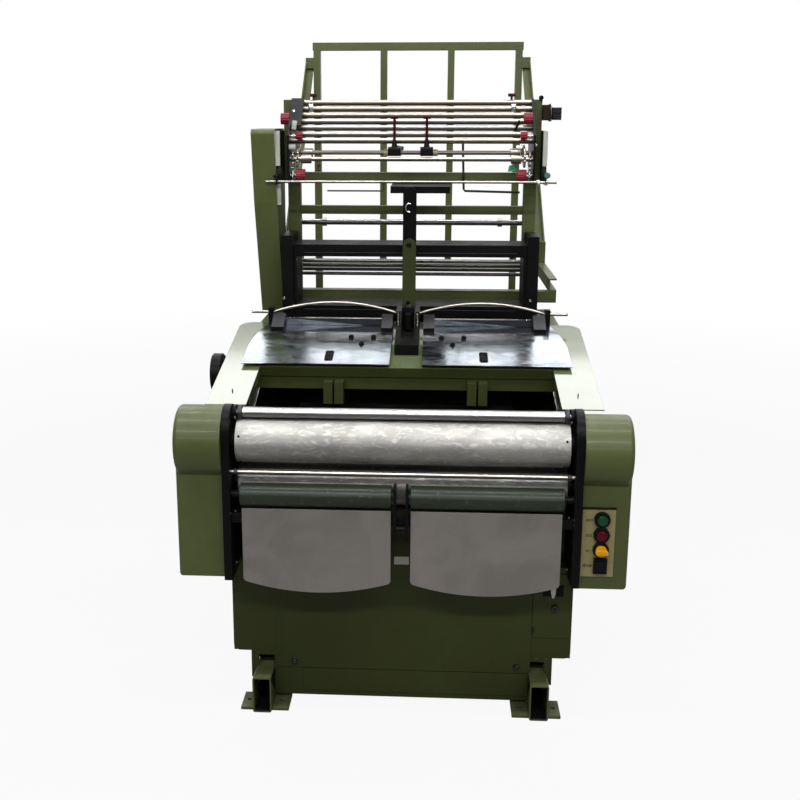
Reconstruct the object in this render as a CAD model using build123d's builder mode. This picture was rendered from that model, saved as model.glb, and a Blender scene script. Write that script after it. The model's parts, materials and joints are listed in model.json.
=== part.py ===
from build123d import *
import os
from math import atan, atan2, cos, degrees, pi, radians, sin, tan

os.makedirs("parts", exist_ok=True)

# Narrow fabric needle loom with two weaving heads, in millimetres.
# X runs to the right seen from the front, the front faces -Y and Z is up.
# The origin is on the floor, in the middle of the machine's footprint.
# Names ending in _y are distances behind the flat front face of the drive covers,
# which from_face() turns into model coordinates.

# Whole machine
clear_width = 860
overall_depth = 1850
overall_height = 1815
drum_bulge = 45

# Running fits and seats
bore_clearance = 0.05
roller_gap = 0.3
slide_gap = 0.3

# Base: two open rectangular tubes with welded anchor plates
foot_inset = 85
foot_width = 50
foot_height = 100
foot_wall = 4
foot_corner = 6
anchor_length = 83
anchor_thickness = 8
anchor_inner_wing = 48
anchor_outer_wing = 38
anchor_setback = 13
anchor_hole_radius = 6
pad_height = 42
pad_length = 120
pad_setback = 190
cross_bottom = 16
cross_height = 79
cross_depth = 60
cross_wall = 5

# Body
body_lap = 20
body_front_y = 77
body_upper_front_y = 141
body_rear_y = 960
sheet = 3
side_wall = 12
floor_plate = 8
ledge_z = 400
front_corner_radius = 18
tab_overhang = 13
tab_gap = 2
tab_bottom = 64
door_width = 100
door_height = 180
door_top = 382
door_thickness = 3
panel_margin = 6
panel_step_gap = 4

# Sloped table and rear deck
table_overhang = 59
table_front_y = 92
table_front_z = 822
table_rear_y = 668
table_rear_z = 935
table_corner_radius = 40
table_skirt = 28
skirt_start_y = 152
table_opening_inset = 27
table_opening_y = 335
deck_thickness = 4
upper_front_top = 772

# Cavity behind the take-off rollers
cross_plate_thickness = 12
cross_plate_height = 62
cross_plate_gap = 2
cavity_block_width = 25
cavity_block_depth = 38
cavity_block_height = 62
cavity_block_gap = 5
cavity_block_x = 197
cavity_block_drop = 6
gear_case_width = 600
gear_case_front_y = 380
gear_case_depth = 270
gear_case_height = 600
gear_case_edge = 20

# Drive covers beside the rollers
cover_width = 123
drum_inset = 4
right_cover_drop = 10
cover_bottom = 386
cover_depth = 135
cover_radius = 10
drum_radius = 90
drum_rim_radius = 12

# Cast side plates and take-off rollers
plate_thickness = 20
plate_front_y = -25
plate_top = 835
plate_top_radius = 65
plate_shoulder = 720
journal_radius = 12.5
roller_end_gap = 12
shaft_seat = 14
bearing_boss = 30
bearing_boss_length = 7
press_boss = 21
press_boss_length = 9
journal_inset = 2
take_off_radius = 55
take_off_y = 47
take_off_z = 740
lower_radius = 55
lower_y = 82
lower_z = 620
press_shaft_radius = 15
press_lean = 12
press_journal = 9
press_roller_radius = 30
press_roller_drop = 5.4
press_roller_inner = 24.5
press_roller_end = 25
guide_rod_radius = 6
guide_rod_y = 2
guide_rod_z = 669

# Aprons under the press rollers
apron_y = -20
apron_thickness = 2.5
apron_inner = 25
apron_end = 28
apron_top = 580
apron_corner_z = 385
apron_sag = 29
apron_corner = 12
rail_depth = 12
rail_top = 565
rail_height = 25
cheek_inner = 12
cheek_outer = 19
cheek_front_y = -34
cheek_rear_y = 14
cheek_top = 642
cheek_bottom = 506
cheek_boss = 6
middle_gap = 1

# Control panel on the right cover
panel_width = 82
panel_height = 180
panel_thickness = 4
panel_side_gap = 4
panel_bottom = 411
control_inset = 52
start_z = 565
stop_z = 524.5
selector_z = 485
rocker_z = 442
ring_radius = 20
ring_height = 10
button_radius = 13
button_travel = 4
button_reach = 18
button_edge = 2
control_gap = 1
knob_radius = 14
knob_reach = 11
knob_handle = 10
handle_overhang = 2
knob_lift = 0.5
knob_stem = 5
rocker_width = 22
rocker_height = 28
rocker_frame = 6
rocker_depth = 9
rocker_root = 6
rocker_tip = 4
rocker_waist = 2
rocker_gap = 1

# Handwheel on the left
wheel_radius = 56
wheel_width = 32
wheel_gap = 9
wheel_y = 415
wheel_z = 832
wheel_shaft = 12
wheel_web = 10
wheel_rim = 14
wheel_hub = 22
wheel_hub_end = 18
wheel_edge = 4
wheel_holes = 5
wheel_hole_radius = 8
wheel_hole_ring = 32

# Weaving heads
head_inner = 45
head_inset = 27
head_front_y = 345
head_rear_y = 660
head_plinth = 9
head_block_inner_width = 33
head_block_outer_width = 36
head_block_front_y = 570
head_block_top = 983
head_block_nose = 16
head_block_sink = 2
head_block_slope = 12
head_block_back = 12
rod_saddle_gap = 8
head_apron_front_y = 332
head_apron_rear_y = 570
head_apron_margin = 55
head_corner_y = 440
head_flap_rear_y = 626
head_flap_gap = 1
head_flap_end = 17
head_flap_bulge = 8
head_apron_sheet = 2.5
slot_length = 75
slot_width = 24
slot_corner = 8
slot_x = 215
slot_y = 390
bar_depth = 46
bar_height = 3
reed_front_y = 618
reed_depth = 8
reed_height = 25

# Bow shaped stop rod across both heads
bow_radius = 4.5
bow_y = 640
bow_z = 972
bow_rise = 30
bow_end_inset = 1
bow_middle = 36
bow_stub = 68
clamp_width = 16
clamp_half_depth = 12
clamp_top = 986
centre_half = 34
centre_slot = 18
centre_top = 990
centre_front_y = 560
centre_tail_y = 425
centre_tail_height = 30
centre_slot_rise = 12
centre_wall = 16
centre_bar_half = 9
centre_bar_front_y = 590
centre_bar_drop = 14
cut_margin = 1

# Heald frames and their grooved guide posts
frame_pitch = 12
frame_count = 12
frame_thickness = 9
frame_bar = 36
frame_side = 20
frame_top = 1167
frame_bottom = 946
guide_inset = 78
guide_width = 34
guide_front_y = 700
guide_top = 1194
guide_groove = 10
guide_end_wall = 8
groove_end_gap = 0.5
deck_hole_gap = 2.5

# Upright frame above the body
post_width = 38
post_lap = 4
post_front_y = 880
post_depth = 40
upper_beam_overhang = 10
side_post_width = 30
side_post_top = 1592
upper_beam_top = 1373
upper_beam_height = 32
middle_beam_top = 1270
middle_beam_height = 26
beam_depth = 30
cross_beam_overhang = 79
cross_beam_bottom = 963
cross_beam_height = 36
rail_width = 25
rail_rise = 41

# Rear frame
upright_width = 25
upright_depth = 45
upright_offset = 4
top_beam_height = 28
top_beam_overhang = 3
sill_bottom = 90
sill_height = 40
rear_foot = 100
rear_foot_plate = 8
brace_foot_y = 1390
brace_foot_length = 60
brace_foot_height = 74
brace_bar = 26
brace_width = 30
brace_wall = 5
brace_drop = 40

# Warp rods behind the heald frames
warp_rod_radius = 6
warp_rod_count = 4
warp_rod_top = 1084
warp_rod_y = 1004
warp_rod_pitch_z = 15
warp_rod_pitch_y = 6
warp_tube_radius = 9
warp_tube_z = 1209
warp_collar_x = 284
warp_collar_radius = 13
warp_collar_width = 14
bracket_sheet = 6
bracket_depth = 120
bracket_bottom = 1022
bracket_top = 1236

# Centre link and tie
link_width = 40
link_thickness = 10
link_y = 668
link_bottom = 972
link_top = 1190
link_hole = 6
tie_thickness = 14
tie_plate_left = 58
tie_plate_right = 118
tie_plate_thickness = 8
tie_lip_height = 20
tie_lip_depth = 6

# Feeder at the top
feeder_sheet = 6
feeder_front_y = 710
feeder_bottom = 1394
feeder_top = 1596
feeder_lug_bottom = 1348
feeder_lug_rear_y = 800
feeder_flange = 32
feeder_flange_bottom = 1516
feeder_flange_sheet = 4
tube_radius = 8.5
tube_count = 7
tube_top_z = 1582
tube_pitch_z = 18.5
tube_top_y = 860
tube_pitch_y = 15
feed_radius = 6.5
feed_upper_y = 786
feed_upper_z = 1436
feed_lower_y = 742
feed_lower_z = 1418
feed_collar = 13
feed_collar_length = 30
feed_collar_end = 33
sprocket_width = 5
outer_sprocket_inset = 11
inner_sprocket_inset = 26
outer_sprocket_radius = 14
outer_sprocket_teeth = 10
inner_sprocket_radius = 19
inner_sprocket_teeth = 14
tooth_height = 3
tooth_root = 4.5
tooth_tip = 1.6
chain_gap = 0.4
chain_pitch = 12.7
chain_roller = 2.6
roller_sides = 6
chain_plate_half = 2.2
chain_plate = 1.4
chain_width = 6
holder_x = [-49, 47]
holder_width = 38
holder_height = 26
holder_depth = 74
holder_corner = 6
holder_y = 774
holder_z = 1440
holder_knob_radius = 10
holder_knob_length = 14
screw_y = 750
screw_foot_radius = 10
screw_foot_height = 27
screw_radius = 4
screw_top = 1540
screw_bar = 22
screw_bar_radius = 5

# Knobs, pull rod, belt cover and gear motor
upper_knob_y = 785
upper_knob_z = 1535
upper_knob_radius = 17
upper_knob_length = 26
middle_knob_y = 745
middle_knob_z = 1486
middle_knob_radius = 11
middle_knob_length = 20
lower_knob_y = 740
lower_knob_z = 1372
lower_knob_radius = 17
lower_knob_length = 28
knob_flutes = 8
flute_radius = 3.5
spindle_radius = 4
shoe_radius = 13
tube_screw_x = 301
tube_screw_radius = 3.5
tube_screw_height = 14
tube_screw_bar = 22
tube_screw_gap = 0.3
pull_rod_radius = 4
pull_rod_overhang = 34
pull_rod_y = 706
pull_rod_z = 1353
pull_bracket_sheet = 4
pull_bracket_height = 46
pull_bracket_nose = 10
pull_bracket_drop = 8
guard_top = 1500
guard_front_y = 713
guard_strip_width = 13
guard_strip_depth = 12
guard_strip_overlap = 1
belt_width = 70
belt_gap = 1
belt_strip_bottom = 1282
belt_strip_top = 1344
belt_strip_front_y = 736
belt_strip_width = 11
belt_top = 1506
belt_front_top_y = 690
belt_front_bottom_y = 850
belt_knee_z = 1290
belt_knee_lean = 40
belt_edge = 14
gearbox_width = 22
motor_width = 30
motor_flange = 4
motor_flange_rim = 3
motor_inset = 4
motor_corner = 8
motor_height = 46
motor_depth = 60
motor_bottom = 1530

# Sizes that follow from the ones above
face_y = -overall_depth / 2 + drum_bulge
rear_y = overall_depth - drum_bulge
plate_inner = clear_width / 2
cover_inner = plate_inner + plate_thickness
body_half = plate_inner + body_lap
side_inner = body_half - side_wall
foot_x = body_half - foot_inset
foot_inner = foot_x - foot_width / 2
foot_outer = foot_x + foot_width / 2
floor_z = foot_height + pad_height
table_half = body_half + table_overhang
table_opening_half = plate_inner - table_opening_inset
roller_half = plate_inner - roller_end_gap
journal_end = cover_inner - journal_inset
apron_outer = plate_inner - apron_end
panel_left = cover_inner + panel_side_gap
control_x = cover_inner + control_inset
head_outer = plate_inner - head_inset
bow_end = head_outer - bow_end_inset
guide_inner = plate_inner - guide_inset
post_inner = guide_inner - post_lap
post_outer = post_inner + post_width
upper_half = post_outer + upper_beam_overhang
upper_beam_bottom = upper_beam_top - upper_beam_height
upright_outer_x = post_outer - upright_offset
upright_inner_x = upright_outer_x / 3
cross_beam_half = post_outer + cross_beam_overhang
cross_beam_top = cross_beam_bottom + cross_beam_height
table_slope = atan((table_rear_z - table_front_z) / (table_rear_y - table_front_y))
table_sheet_drop = sheet / cos(table_slope)
head_plinth_rise = head_plinth / cos(table_slope)
press_reach = take_off_radius + press_shaft_radius + roller_gap
press_y = take_off_y + press_reach * sin(radians(press_lean))
press_z = take_off_z + press_reach * cos(radians(press_lean))
press_roller_reach = lower_radius + press_roller_radius + roller_gap
press_roller_y = lower_y - press_roller_reach * cos(radians(press_roller_drop))
press_roller_z = lower_z - press_roller_reach * sin(radians(press_roller_drop))
guide_depth = frame_pitch * frame_count + 2 * guide_end_wall
frame_half = guide_inner + guide_groove - groove_end_gap
deck_z = table_rear_z
post_rear_y = post_front_y + post_depth
upright_front_y = rear_y - upright_depth
rear_beam_front_y = upright_front_y - rail_width
link_rear_y = link_y + link_thickness
beam_front_y = post_front_y + (post_depth - beam_depth) / 2
tie_rear_y = link_rear_y + tie_thickness
rail_start_y = body_rear_y + sheet
feeder_outer = upper_half - side_post_width
feeder_inner = feeder_outer - feeder_sheet
tube_bottom_z = tube_top_z - (tube_count - 1) * tube_pitch_z
belt_knee_y = belt_front_top_y + belt_knee_lean


def from_face(distance):
    """Model Y of a place this far behind the drive covers' flat front face."""
    return face_y + distance


def table_z(distance):
    """Height of the table's upper surface this far behind the covers' face."""
    return table_front_z + tan(table_slope) * (distance - table_front_y)


def table_plane(distance, rise=0.0):
    """Plane lying on the table, its origin this far back, raised square to it."""
    up = (0, -sin(table_slope), cos(table_slope))
    origin = Vector(0, from_face(distance), table_z(distance)) + Vector(*up) * rise
    return Plane(origin=origin, x_dir=(1, 0, 0), z_dir=up)


def along_table(distance):
    """Length on the slope that covers this horizontal distance."""
    return distance / cos(table_slope)


def block(x, y, z):
    """Adds a block to the part being built; x, y and z are its (low, high) limits."""
    with BuildSketch(Plane.XY.offset(z[0])) as base:
        with Locations(((x[0] + x[1]) / 2, (y[0] + y[1]) / 2)):
            Rectangle(x[1] - x[0], y[1] - y[0])
    extrude(base.sketch, amount=z[1] - z[0])


def rod(x, y, z, radius):
    """Adds a round rod along X between the two limits in x."""
    with BuildSketch(Plane.YZ.offset(x[0])) as end:
        with Locations((y, z)):
            Circle(radius)
    extrude(end.sketch, amount=x[1] - x[0])


def turned(y, z, steps):
    """Piece turned about X; steps holds (x, radius) pairs from left to right."""
    plane = Plane(origin=(0, y, z), x_dir=(1, 0, 0), z_dir=(0, -1, 0))
    with BuildPart() as piece:
        with BuildSketch(plane):
            with BuildLine():
                Polyline((steps[0][0], 0), *steps, (steps[-1][0], 0), close=True)
            make_face()
        revolve(axis=Axis((0, y, z), (1, 0, 0)))
    return piece


def toothed_wheel(x, y, z, radius, teeth):
    """Adds a chain wheel that is sprocket_width thick, between the two limits in x."""
    root = radius - tooth_height
    with BuildSketch(Plane.YZ.offset(x[0])) as wheel:
        with Locations((y, z)):
            Circle(root)
            with PolarLocations(root, teeth):
                Polygon(
                    (-tooth_height / 2, -tooth_root / 2),
                    (tooth_height, -tooth_tip / 2),
                    (tooth_height, tooth_tip / 2),
                    (-tooth_height / 2, tooth_root / 2),
                    align=None,
                )
    extrude(wheel.sketch, amount=x[1] - x[0])


def loop_spot(distance, start, end, radius):
    """Place on a belt line of this radius round two centres, this far along it."""
    run = (end - start).length
    along = (end - start).normalized()
    across = Vector(-along.Y, along.X)
    arc = pi * radius
    if distance < run:
        return start + along * distance - across * radius
    if distance < run + arc:
        turn = (distance - run) / radius
        return end - across * radius * cos(turn) + along * radius * sin(turn)
    if distance < 2 * run + arc:
        return end - along * (distance - run - arc) + across * radius
    turn = (distance - 2 * run - arc) / radius
    return start + across * radius * cos(turn) - along * radius * sin(turn)


def chain_loop(x, start, end, tip_radius):
    """Closed loop of roller chain in the plane x, just outside the tooth tips."""
    start = Vector(from_face(start[0]), start[1])
    end = Vector(from_face(end[0]), end[1])
    run = (end - start).length
    radius = tip_radius + chain_gap + chain_roller
    length = 2 * run + 2 * pi * radius
    links = 2 * round(length / chain_pitch / 2)
    middle = (start + end) / 2
    lean = degrees(atan2((end - start).Y, (end - start).X))
    with BuildPart() as loop:
        for plate_x in (x[0], x[1] - chain_plate):
            with BuildSketch(Plane.YZ.offset(plate_x)):
                with Locations((middle.X, middle.Y)):
                    SlotCenterToCenter(run, 2 * (radius + chain_plate_half), rotation=lean)
                    SlotCenterToCenter(
                        run, 2 * (radius - chain_plate_half), rotation=lean, mode=Mode.SUBTRACT
                    )
            extrude(amount=chain_plate)
        with BuildSketch(Plane.YZ.offset(x[0])):
            for link in range(links):
                spot = loop_spot(link * length / links, start, end, radius)
                with Locations((spot.X, spot.Y)):
                    RegularPolygon(chain_roller, roller_sides)
        extrude(amount=x[1] - x[0])
    return loop


def save(shape, name):
    """Labels a finished piece and writes its file."""
    shape.label = name
    export_step(shape, f"parts/{name}.step")


def save_sides(piece, name):
    """Writes the right hand piece and its mirror image as two files."""
    save(piece.part, name + "_right")
    save(mirror(piece.part, about=Plane.YZ), name + "_left")


# Feet: open tubes with anchor plates at both ends and pads that carry the body
with BuildPart() as foot:
    with BuildSketch(Plane.XZ.offset(-face_y)):
        with Locations((foot_x, foot_height / 2)):
            RectangleRounded(foot_width, foot_height, foot_corner)
            Rectangle(
                foot_width - 2 * foot_wall,
                foot_height - 2 * foot_wall,
                mode=Mode.SUBTRACT,
            )
    extrude(amount=-body_rear_y)
    plate_middles = [
        from_face(anchor_setback + anchor_length / 2),
        from_face(body_rear_y - anchor_setback - anchor_length / 2),
    ]
    with BuildSketch():
        for plate_y in plate_middles:
            with Locations((foot_outer - foot_wall + anchor_outer_wing / 2, plate_y)):
                Rectangle(anchor_outer_wing, anchor_length)
            with Locations((foot_inner + foot_wall - anchor_inner_wing / 2, plate_y)):
                Rectangle(anchor_inner_wing, anchor_length)
            with Locations(
                (foot_outer + anchor_outer_wing / 2 - foot_wall / 2, plate_y),
                (foot_inner - anchor_inner_wing / 2 + foot_wall / 2, plate_y),
            ):
                Circle(anchor_hole_radius, mode=Mode.SUBTRACT)
    extrude(amount=anchor_thickness)
    with BuildSketch(Plane.XY.offset(foot_height)):
        for pad_y in (pad_setback, body_rear_y - pad_setback):
            with Locations((foot_x, from_face(pad_y))):
                Rectangle(foot_width - 2 * foot_corner, pad_length)
    extrude(amount=pad_height)
save_sides(foot, "foot")

# Channel shaped cross members between the feet
with BuildPart() as cross_members:
    for front, turn in ((body_front_y + sheet, 1), (body_rear_y - sheet, -1)):
        y_start = from_face(front)
        with BuildSketch(Plane.YZ.offset(-foot_inner)):
            with Locations((y_start + turn * cross_depth / 2, cross_bottom + cross_height / 2)):
                Rectangle(cross_depth, cross_height)
            with Locations(
                (
                    y_start + turn * (cross_depth + cross_wall) / 2,
                    cross_bottom + cross_height / 2,
                )
            ):
                Rectangle(
                    cross_depth - cross_wall,
                    cross_height - 2 * cross_wall,
                    mode=Mode.SUBTRACT,
                )
        extrude(amount=2 * foot_inner)
save(cross_members.part, "base_cross_members")

# Body: floor, two thick sides, folded front sheet and rear sheet
with BuildPart() as body_floor:
    block(
        (-side_inner, side_inner),
        (from_face(body_front_y + sheet), from_face(body_rear_y - sheet)),
        (floor_z, floor_z + floor_plate),
    )
save(body_floor.part, "body_floor")

with BuildPart() as body_side:
    with BuildSketch(Plane.YZ.offset(side_inner)):
        with BuildLine():
            Polyline(
                (from_face(body_front_y + sheet), floor_z),
                (from_face(body_front_y + sheet), ledge_z - sheet),
                (from_face(body_upper_front_y + sheet), ledge_z - sheet),
                (
                    from_face(body_upper_front_y + sheet),
                    table_z(body_upper_front_y + sheet) - table_sheet_drop,
                ),
                (from_face(table_rear_y), table_z(table_rear_y) - table_sheet_drop),
                (from_face(table_rear_y), deck_z - deck_thickness),
                (from_face(body_rear_y - sheet), deck_z - deck_thickness),
                (from_face(body_rear_y - sheet), floor_z),
                close=True,
            )
        make_face()
    extrude(amount=side_wall)
save(body_side.part, "body_side_right")
body_side_left_part = mirror(body_side.part, about=Plane.YZ)
with BuildPart() as body_side_left:
    add(body_side_left_part)
    with BuildSketch(Plane.YZ.offset(-body_half)):
        with Locations((from_face(wheel_y), wheel_z)):
            Circle(wheel_shaft + bore_clearance)
    extrude(amount=side_wall, mode=Mode.SUBTRACT)
save(body_side_left.part, "body_side_left")

with BuildPart() as front_panel:
    with BuildSketch(Plane.XZ.offset(-from_face(body_front_y))) as lower_front:
        with Locations((0, (floor_z + ledge_z) / 2)):
            Rectangle(2 * body_half, ledge_z - floor_z)
        fillet(lower_front.vertices().group_by(Axis.Y)[0], front_corner_radius)
        with Locations((0, (cross_bottom + floor_z) / 2)):
            Rectangle(2 * foot_inner, floor_z - cross_bottom)
        for side in (-1, 1):
            with Locations(
                (side * (foot_outer + (tab_overhang + tab_gap) / 2), (tab_bottom + floor_z) / 2)
            ):
                Rectangle(tab_overhang - tab_gap, floor_z - tab_bottom)
    extrude(amount=-sheet)
    block(
        (-body_half, body_half),
        (from_face(body_front_y), from_face(body_upper_front_y + sheet)),
        (ledge_z - sheet, ledge_z),
    )
    block(
        (-body_half, body_half),
        (from_face(body_upper_front_y), from_face(body_upper_front_y + sheet)),
        (ledge_z - sheet, upper_front_top),
    )
    with BuildSketch(Plane.XZ.offset(-from_face(body_front_y))):
        with Locations((0, (cross_bottom + cross_height + ledge_z) / 2)):
            Rectangle(
                2 * (foot_inner - panel_margin),
                ledge_z - cross_bottom - cross_height - panel_step_gap,
            )
    extrude(amount=sheet / 2)
save(front_panel.part, "front_panel")

with BuildPart() as front_door:
    with BuildSketch(Plane.XZ.offset(-from_face(body_front_y))):
        with Locations((body_half - door_width / 2 - sheet, door_top - door_height / 2)):
            RectangleRounded(door_width, door_height, sheet)
    extrude(amount=door_thickness)
save(front_door.part, "front_door")

with BuildPart() as rear_panel:
    block(
        (-body_half, body_half),
        (from_face(body_rear_y - sheet), from_face(body_rear_y)),
        (floor_z, deck_z - deck_thickness),
    )
save(rear_panel.part, "rear_panel")

with BuildPart() as gear_case:
    block(
        (-gear_case_width / 2, gear_case_width / 2),
        (from_face(gear_case_front_y), from_face(gear_case_front_y + gear_case_depth)),
        (floor_z + floor_plate, floor_z + floor_plate + gear_case_height),
    )
    fillet(gear_case.edges().filter_by(Axis.X).group_by(Axis.Z)[-1], gear_case_edge)
save(gear_case.part, "gear_case")

# Table: sloped tray, open to the front, with a skirt on its sides
with BuildPart() as table_top:
    slope_length = along_table(table_rear_y - table_front_y)
    opening_length = along_table(table_opening_y - table_front_y)
    skirt_start_length = along_table(skirt_start_y - table_front_y)
    with BuildSketch(table_plane(table_front_y)) as table_outline:
        with Locations((0, slope_length / 2)):
            Rectangle(2 * table_half, slope_length)
        fillet(table_outline.vertices().group_by(Axis.Y)[-1], table_corner_radius)
        with Locations((0, opening_length / 2)):
            Rectangle(2 * table_opening_half, opening_length, mode=Mode.SUBTRACT)
    extrude(amount=-table_skirt)
    with BuildSketch(table_plane(table_front_y, -sheet)):
        with Locations((0, slope_length / 2)):
            Rectangle(2 * (table_half - sheet), slope_length - 2 * sheet)
        with Locations((0, slope_length - table_corner_radius / 2)):
            Rectangle(2 * table_half, table_corner_radius + 2 * sheet)
        with Locations((0, opening_length / 2)):
            Rectangle(
                2 * (table_opening_half + sheet),
                opening_length + 2 * sheet,
                mode=Mode.SUBTRACT,
            )
        with Locations((0, skirt_start_length / 2 - sheet)):
            Rectangle(2 * (table_half + sheet), skirt_start_length + 2 * sheet)
    extrude(amount=-table_skirt, mode=Mode.SUBTRACT)
save(table_top.part, "table_top")

with BuildPart() as rear_deck:
    block(
        (-body_half, body_half),
        (from_face(table_rear_y + sheet), from_face(body_rear_y)),
        (deck_z - deck_thickness, deck_z),
    )
    with BuildSketch(Plane.XY.offset(deck_z)):
        with Locations((0, from_face(guide_front_y + guide_depth / 2))):
            Rectangle(2 * (frame_half + deck_hole_gap), guide_depth)
    extrude(amount=-deck_thickness, mode=Mode.SUBTRACT)
save(rear_deck.part, "rear_deck")

with BuildPart() as cavity_cross_plate:
    plate_face_y = table_opening_y + sheet + table_skirt * sin(table_slope) + cross_plate_gap
    plate_head_z = table_z(plate_face_y) - table_sheet_drop
    block(
        (-side_inner, side_inner),
        (from_face(plate_face_y), from_face(plate_face_y + cross_plate_thickness)),
        (plate_head_z - cross_plate_height, plate_head_z),
    )
    for side in (-1, 1):
        for turn in (-1, 1):
            middle = side * cavity_block_x + turn * (cavity_block_width + cavity_block_gap) / 2
            block(
                (middle - cavity_block_width / 2, middle + cavity_block_width / 2),
                (from_face(plate_face_y - cavity_block_depth), from_face(plate_face_y)),
                (
                    plate_head_z - table_skirt - cavity_block_drop - cavity_block_height,
                    plate_head_z - table_skirt - cavity_block_drop,
                ),
            )
save(cavity_cross_plate.part, "cavity_cross_plate")

# Drive covers: a drum on top of a narrower box
with BuildPart() as drive_cover:
    with BuildSketch(Plane.YZ.offset(cover_inner)):
        with Locations((from_face(cover_depth / 2), (cover_bottom + take_off_z) / 2)):
            Rectangle(cover_depth, take_off_z - cover_bottom)
    extrude(amount=cover_width)
    fillet(drive_cover.faces().sort_by(Axis.X)[-1].edges(), cover_radius)
    drum_axis = Axis((0, from_face(drum_bulge), take_off_z), (1, 0, 0))
    with BuildSketch(
        Plane(origin=drum_axis.position, x_dir=(1, 0, 0), z_dir=(0, -1, 0))
    ) as drum_profile:
        with Locations((cover_inner + (cover_width - drum_inset) / 2, drum_radius / 2)):
            Rectangle(cover_width - drum_inset, drum_radius)
        fillet(drum_profile.vertices().group_by(Axis.X)[-1].sort_by(Axis.Y)[-1], drum_rim_radius)
    revolve(axis=drum_axis)
save(drive_cover.part.moved(Location((0, 0, -right_cover_drop))), "drive_cover_right")
save(mirror(drive_cover.part, about=Plane.YZ), "drive_cover_left")

# Cast plates that carry the rollers, with their bearing bores
with BuildPart() as take_off_plate:
    arc_y = from_face(plate_front_y + plate_top_radius)
    arc_z = plate_top - plate_top_radius
    with BuildSketch(Plane.YZ.offset(plate_inner)):
        with BuildLine():
            Polyline(
                (arc_y - plate_top_radius, arc_z),
                (arc_y - plate_top_radius, cover_bottom),
                (from_face(body_front_y), cover_bottom),
                (from_face(body_front_y), ledge_z),
                (from_face(body_upper_front_y), ledge_z),
                (from_face(body_upper_front_y), plate_shoulder),
                (arc_y + plate_top_radius, arc_z),
            )
            ThreePointArc(
                (arc_y + plate_top_radius, arc_z),
                (arc_y, plate_top),
                (arc_y - plate_top_radius, arc_z),
            )
        make_face()
        with Locations((from_face(take_off_y), take_off_z), (from_face(lower_y), lower_z)):
            Circle(journal_radius + bore_clearance, mode=Mode.SUBTRACT)
        with Locations(
            (from_face(press_y), press_z), (from_face(press_roller_y), press_roller_z)
        ):
            Circle(press_journal + bore_clearance, mode=Mode.SUBTRACT)
    extrude(amount=plate_thickness)
    with BuildSketch(Plane.YZ.offset(plate_inner)):
        with Locations((from_face(take_off_y), take_off_z), (from_face(lower_y), lower_z)):
            Circle(bearing_boss)
            Circle(journal_radius + bore_clearance, mode=Mode.SUBTRACT)
    extrude(amount=-bearing_boss_length)
    with BuildSketch(Plane.YZ.offset(plate_inner)):
        with Locations((from_face(press_y), press_z)):
            Circle(press_boss)
            Circle(press_journal + bore_clearance, mode=Mode.SUBTRACT)
    extrude(amount=-press_boss_length)
save_sides(take_off_plate, "take_off_plate")

# Rollers between the plates
take_off_roller = turned(
    from_face(take_off_y),
    take_off_z,
    [
        (-journal_end, journal_radius),
        (-roller_half, journal_radius),
        (-roller_half, take_off_radius),
        (roller_half, take_off_radius),
        (roller_half, journal_radius),
        (journal_end, journal_radius),
    ],
)
save(take_off_roller.part, "take_off_roller")

lower_roller = turned(
    from_face(lower_y),
    lower_z,
    [
        (-journal_end, journal_radius),
        (-roller_half, journal_radius),
        (-roller_half, lower_radius),
        (roller_half, lower_radius),
        (roller_half, journal_radius),
        (journal_end, journal_radius),
    ],
)
save(lower_roller.part, "lower_roller")

press_shaft = turned(
    from_face(press_y),
    press_z,
    [
        (-journal_end, press_journal),
        (-plate_inner + shaft_seat, press_journal),
        (-plate_inner + shaft_seat, press_shaft_radius),
        (plate_inner - shaft_seat, press_shaft_radius),
        (plate_inner - shaft_seat, press_journal),
        (journal_end, press_journal),
    ],
)
save(press_shaft.part, "press_shaft")

with BuildPart() as press_rollers:
    y, z = from_face(press_roller_y), press_roller_z
    for side in (-1, 1):
        rod(
            sorted((side * press_roller_inner, side * (plate_inner - press_roller_end))),
            y,
            z,
            press_roller_radius,
        )
        rod(sorted((side * (cheek_inner + middle_gap), side * journal_end)), y, z, press_journal)
save(press_rollers.part, "press_rollers")

with BuildPart() as guide_rod:
    rod((-plate_inner, plate_inner), from_face(guide_rod_y), guide_rod_z, guide_rod_radius)
save(guide_rod.part, "guide_rod")

# Rail with the middle bearing of the press rollers, and the two aprons it carries
with BuildPart() as apron_rail:
    rail_front = from_face(apron_y + apron_thickness)
    block(
        (-plate_inner, plate_inner),
        (rail_front, rail_front + rail_depth),
        (rail_top - rail_height, rail_top),
    )
    for side in (-1, 1):
        with BuildSketch(Plane.YZ.offset(side * cheek_inner)):
            with BuildLine():
                Polyline(
                    (from_face(cheek_front_y), cheek_bottom),
                    (from_face(cheek_front_y), cheek_top),
                    (from_face(cheek_rear_y), cheek_top),
                    (from_face(cheek_rear_y), rail_top),
                    (rail_front, rail_top),
                    (rail_front, cheek_bottom),
                    close=True,
                )
            make_face()
            with Locations((from_face(press_roller_y), press_roller_z)):
                Circle(press_journal + bore_clearance, mode=Mode.SUBTRACT)
        extrude(amount=side * (cheek_outer - cheek_inner))
    boss_y = (cheek_front_y + apron_y) / 2
    rod((-cheek_inner, cheek_inner), from_face(boss_y), (cheek_bottom + rail_top) / 2, cheek_boss)
save(apron_rail.part, "apron_rail")

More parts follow.
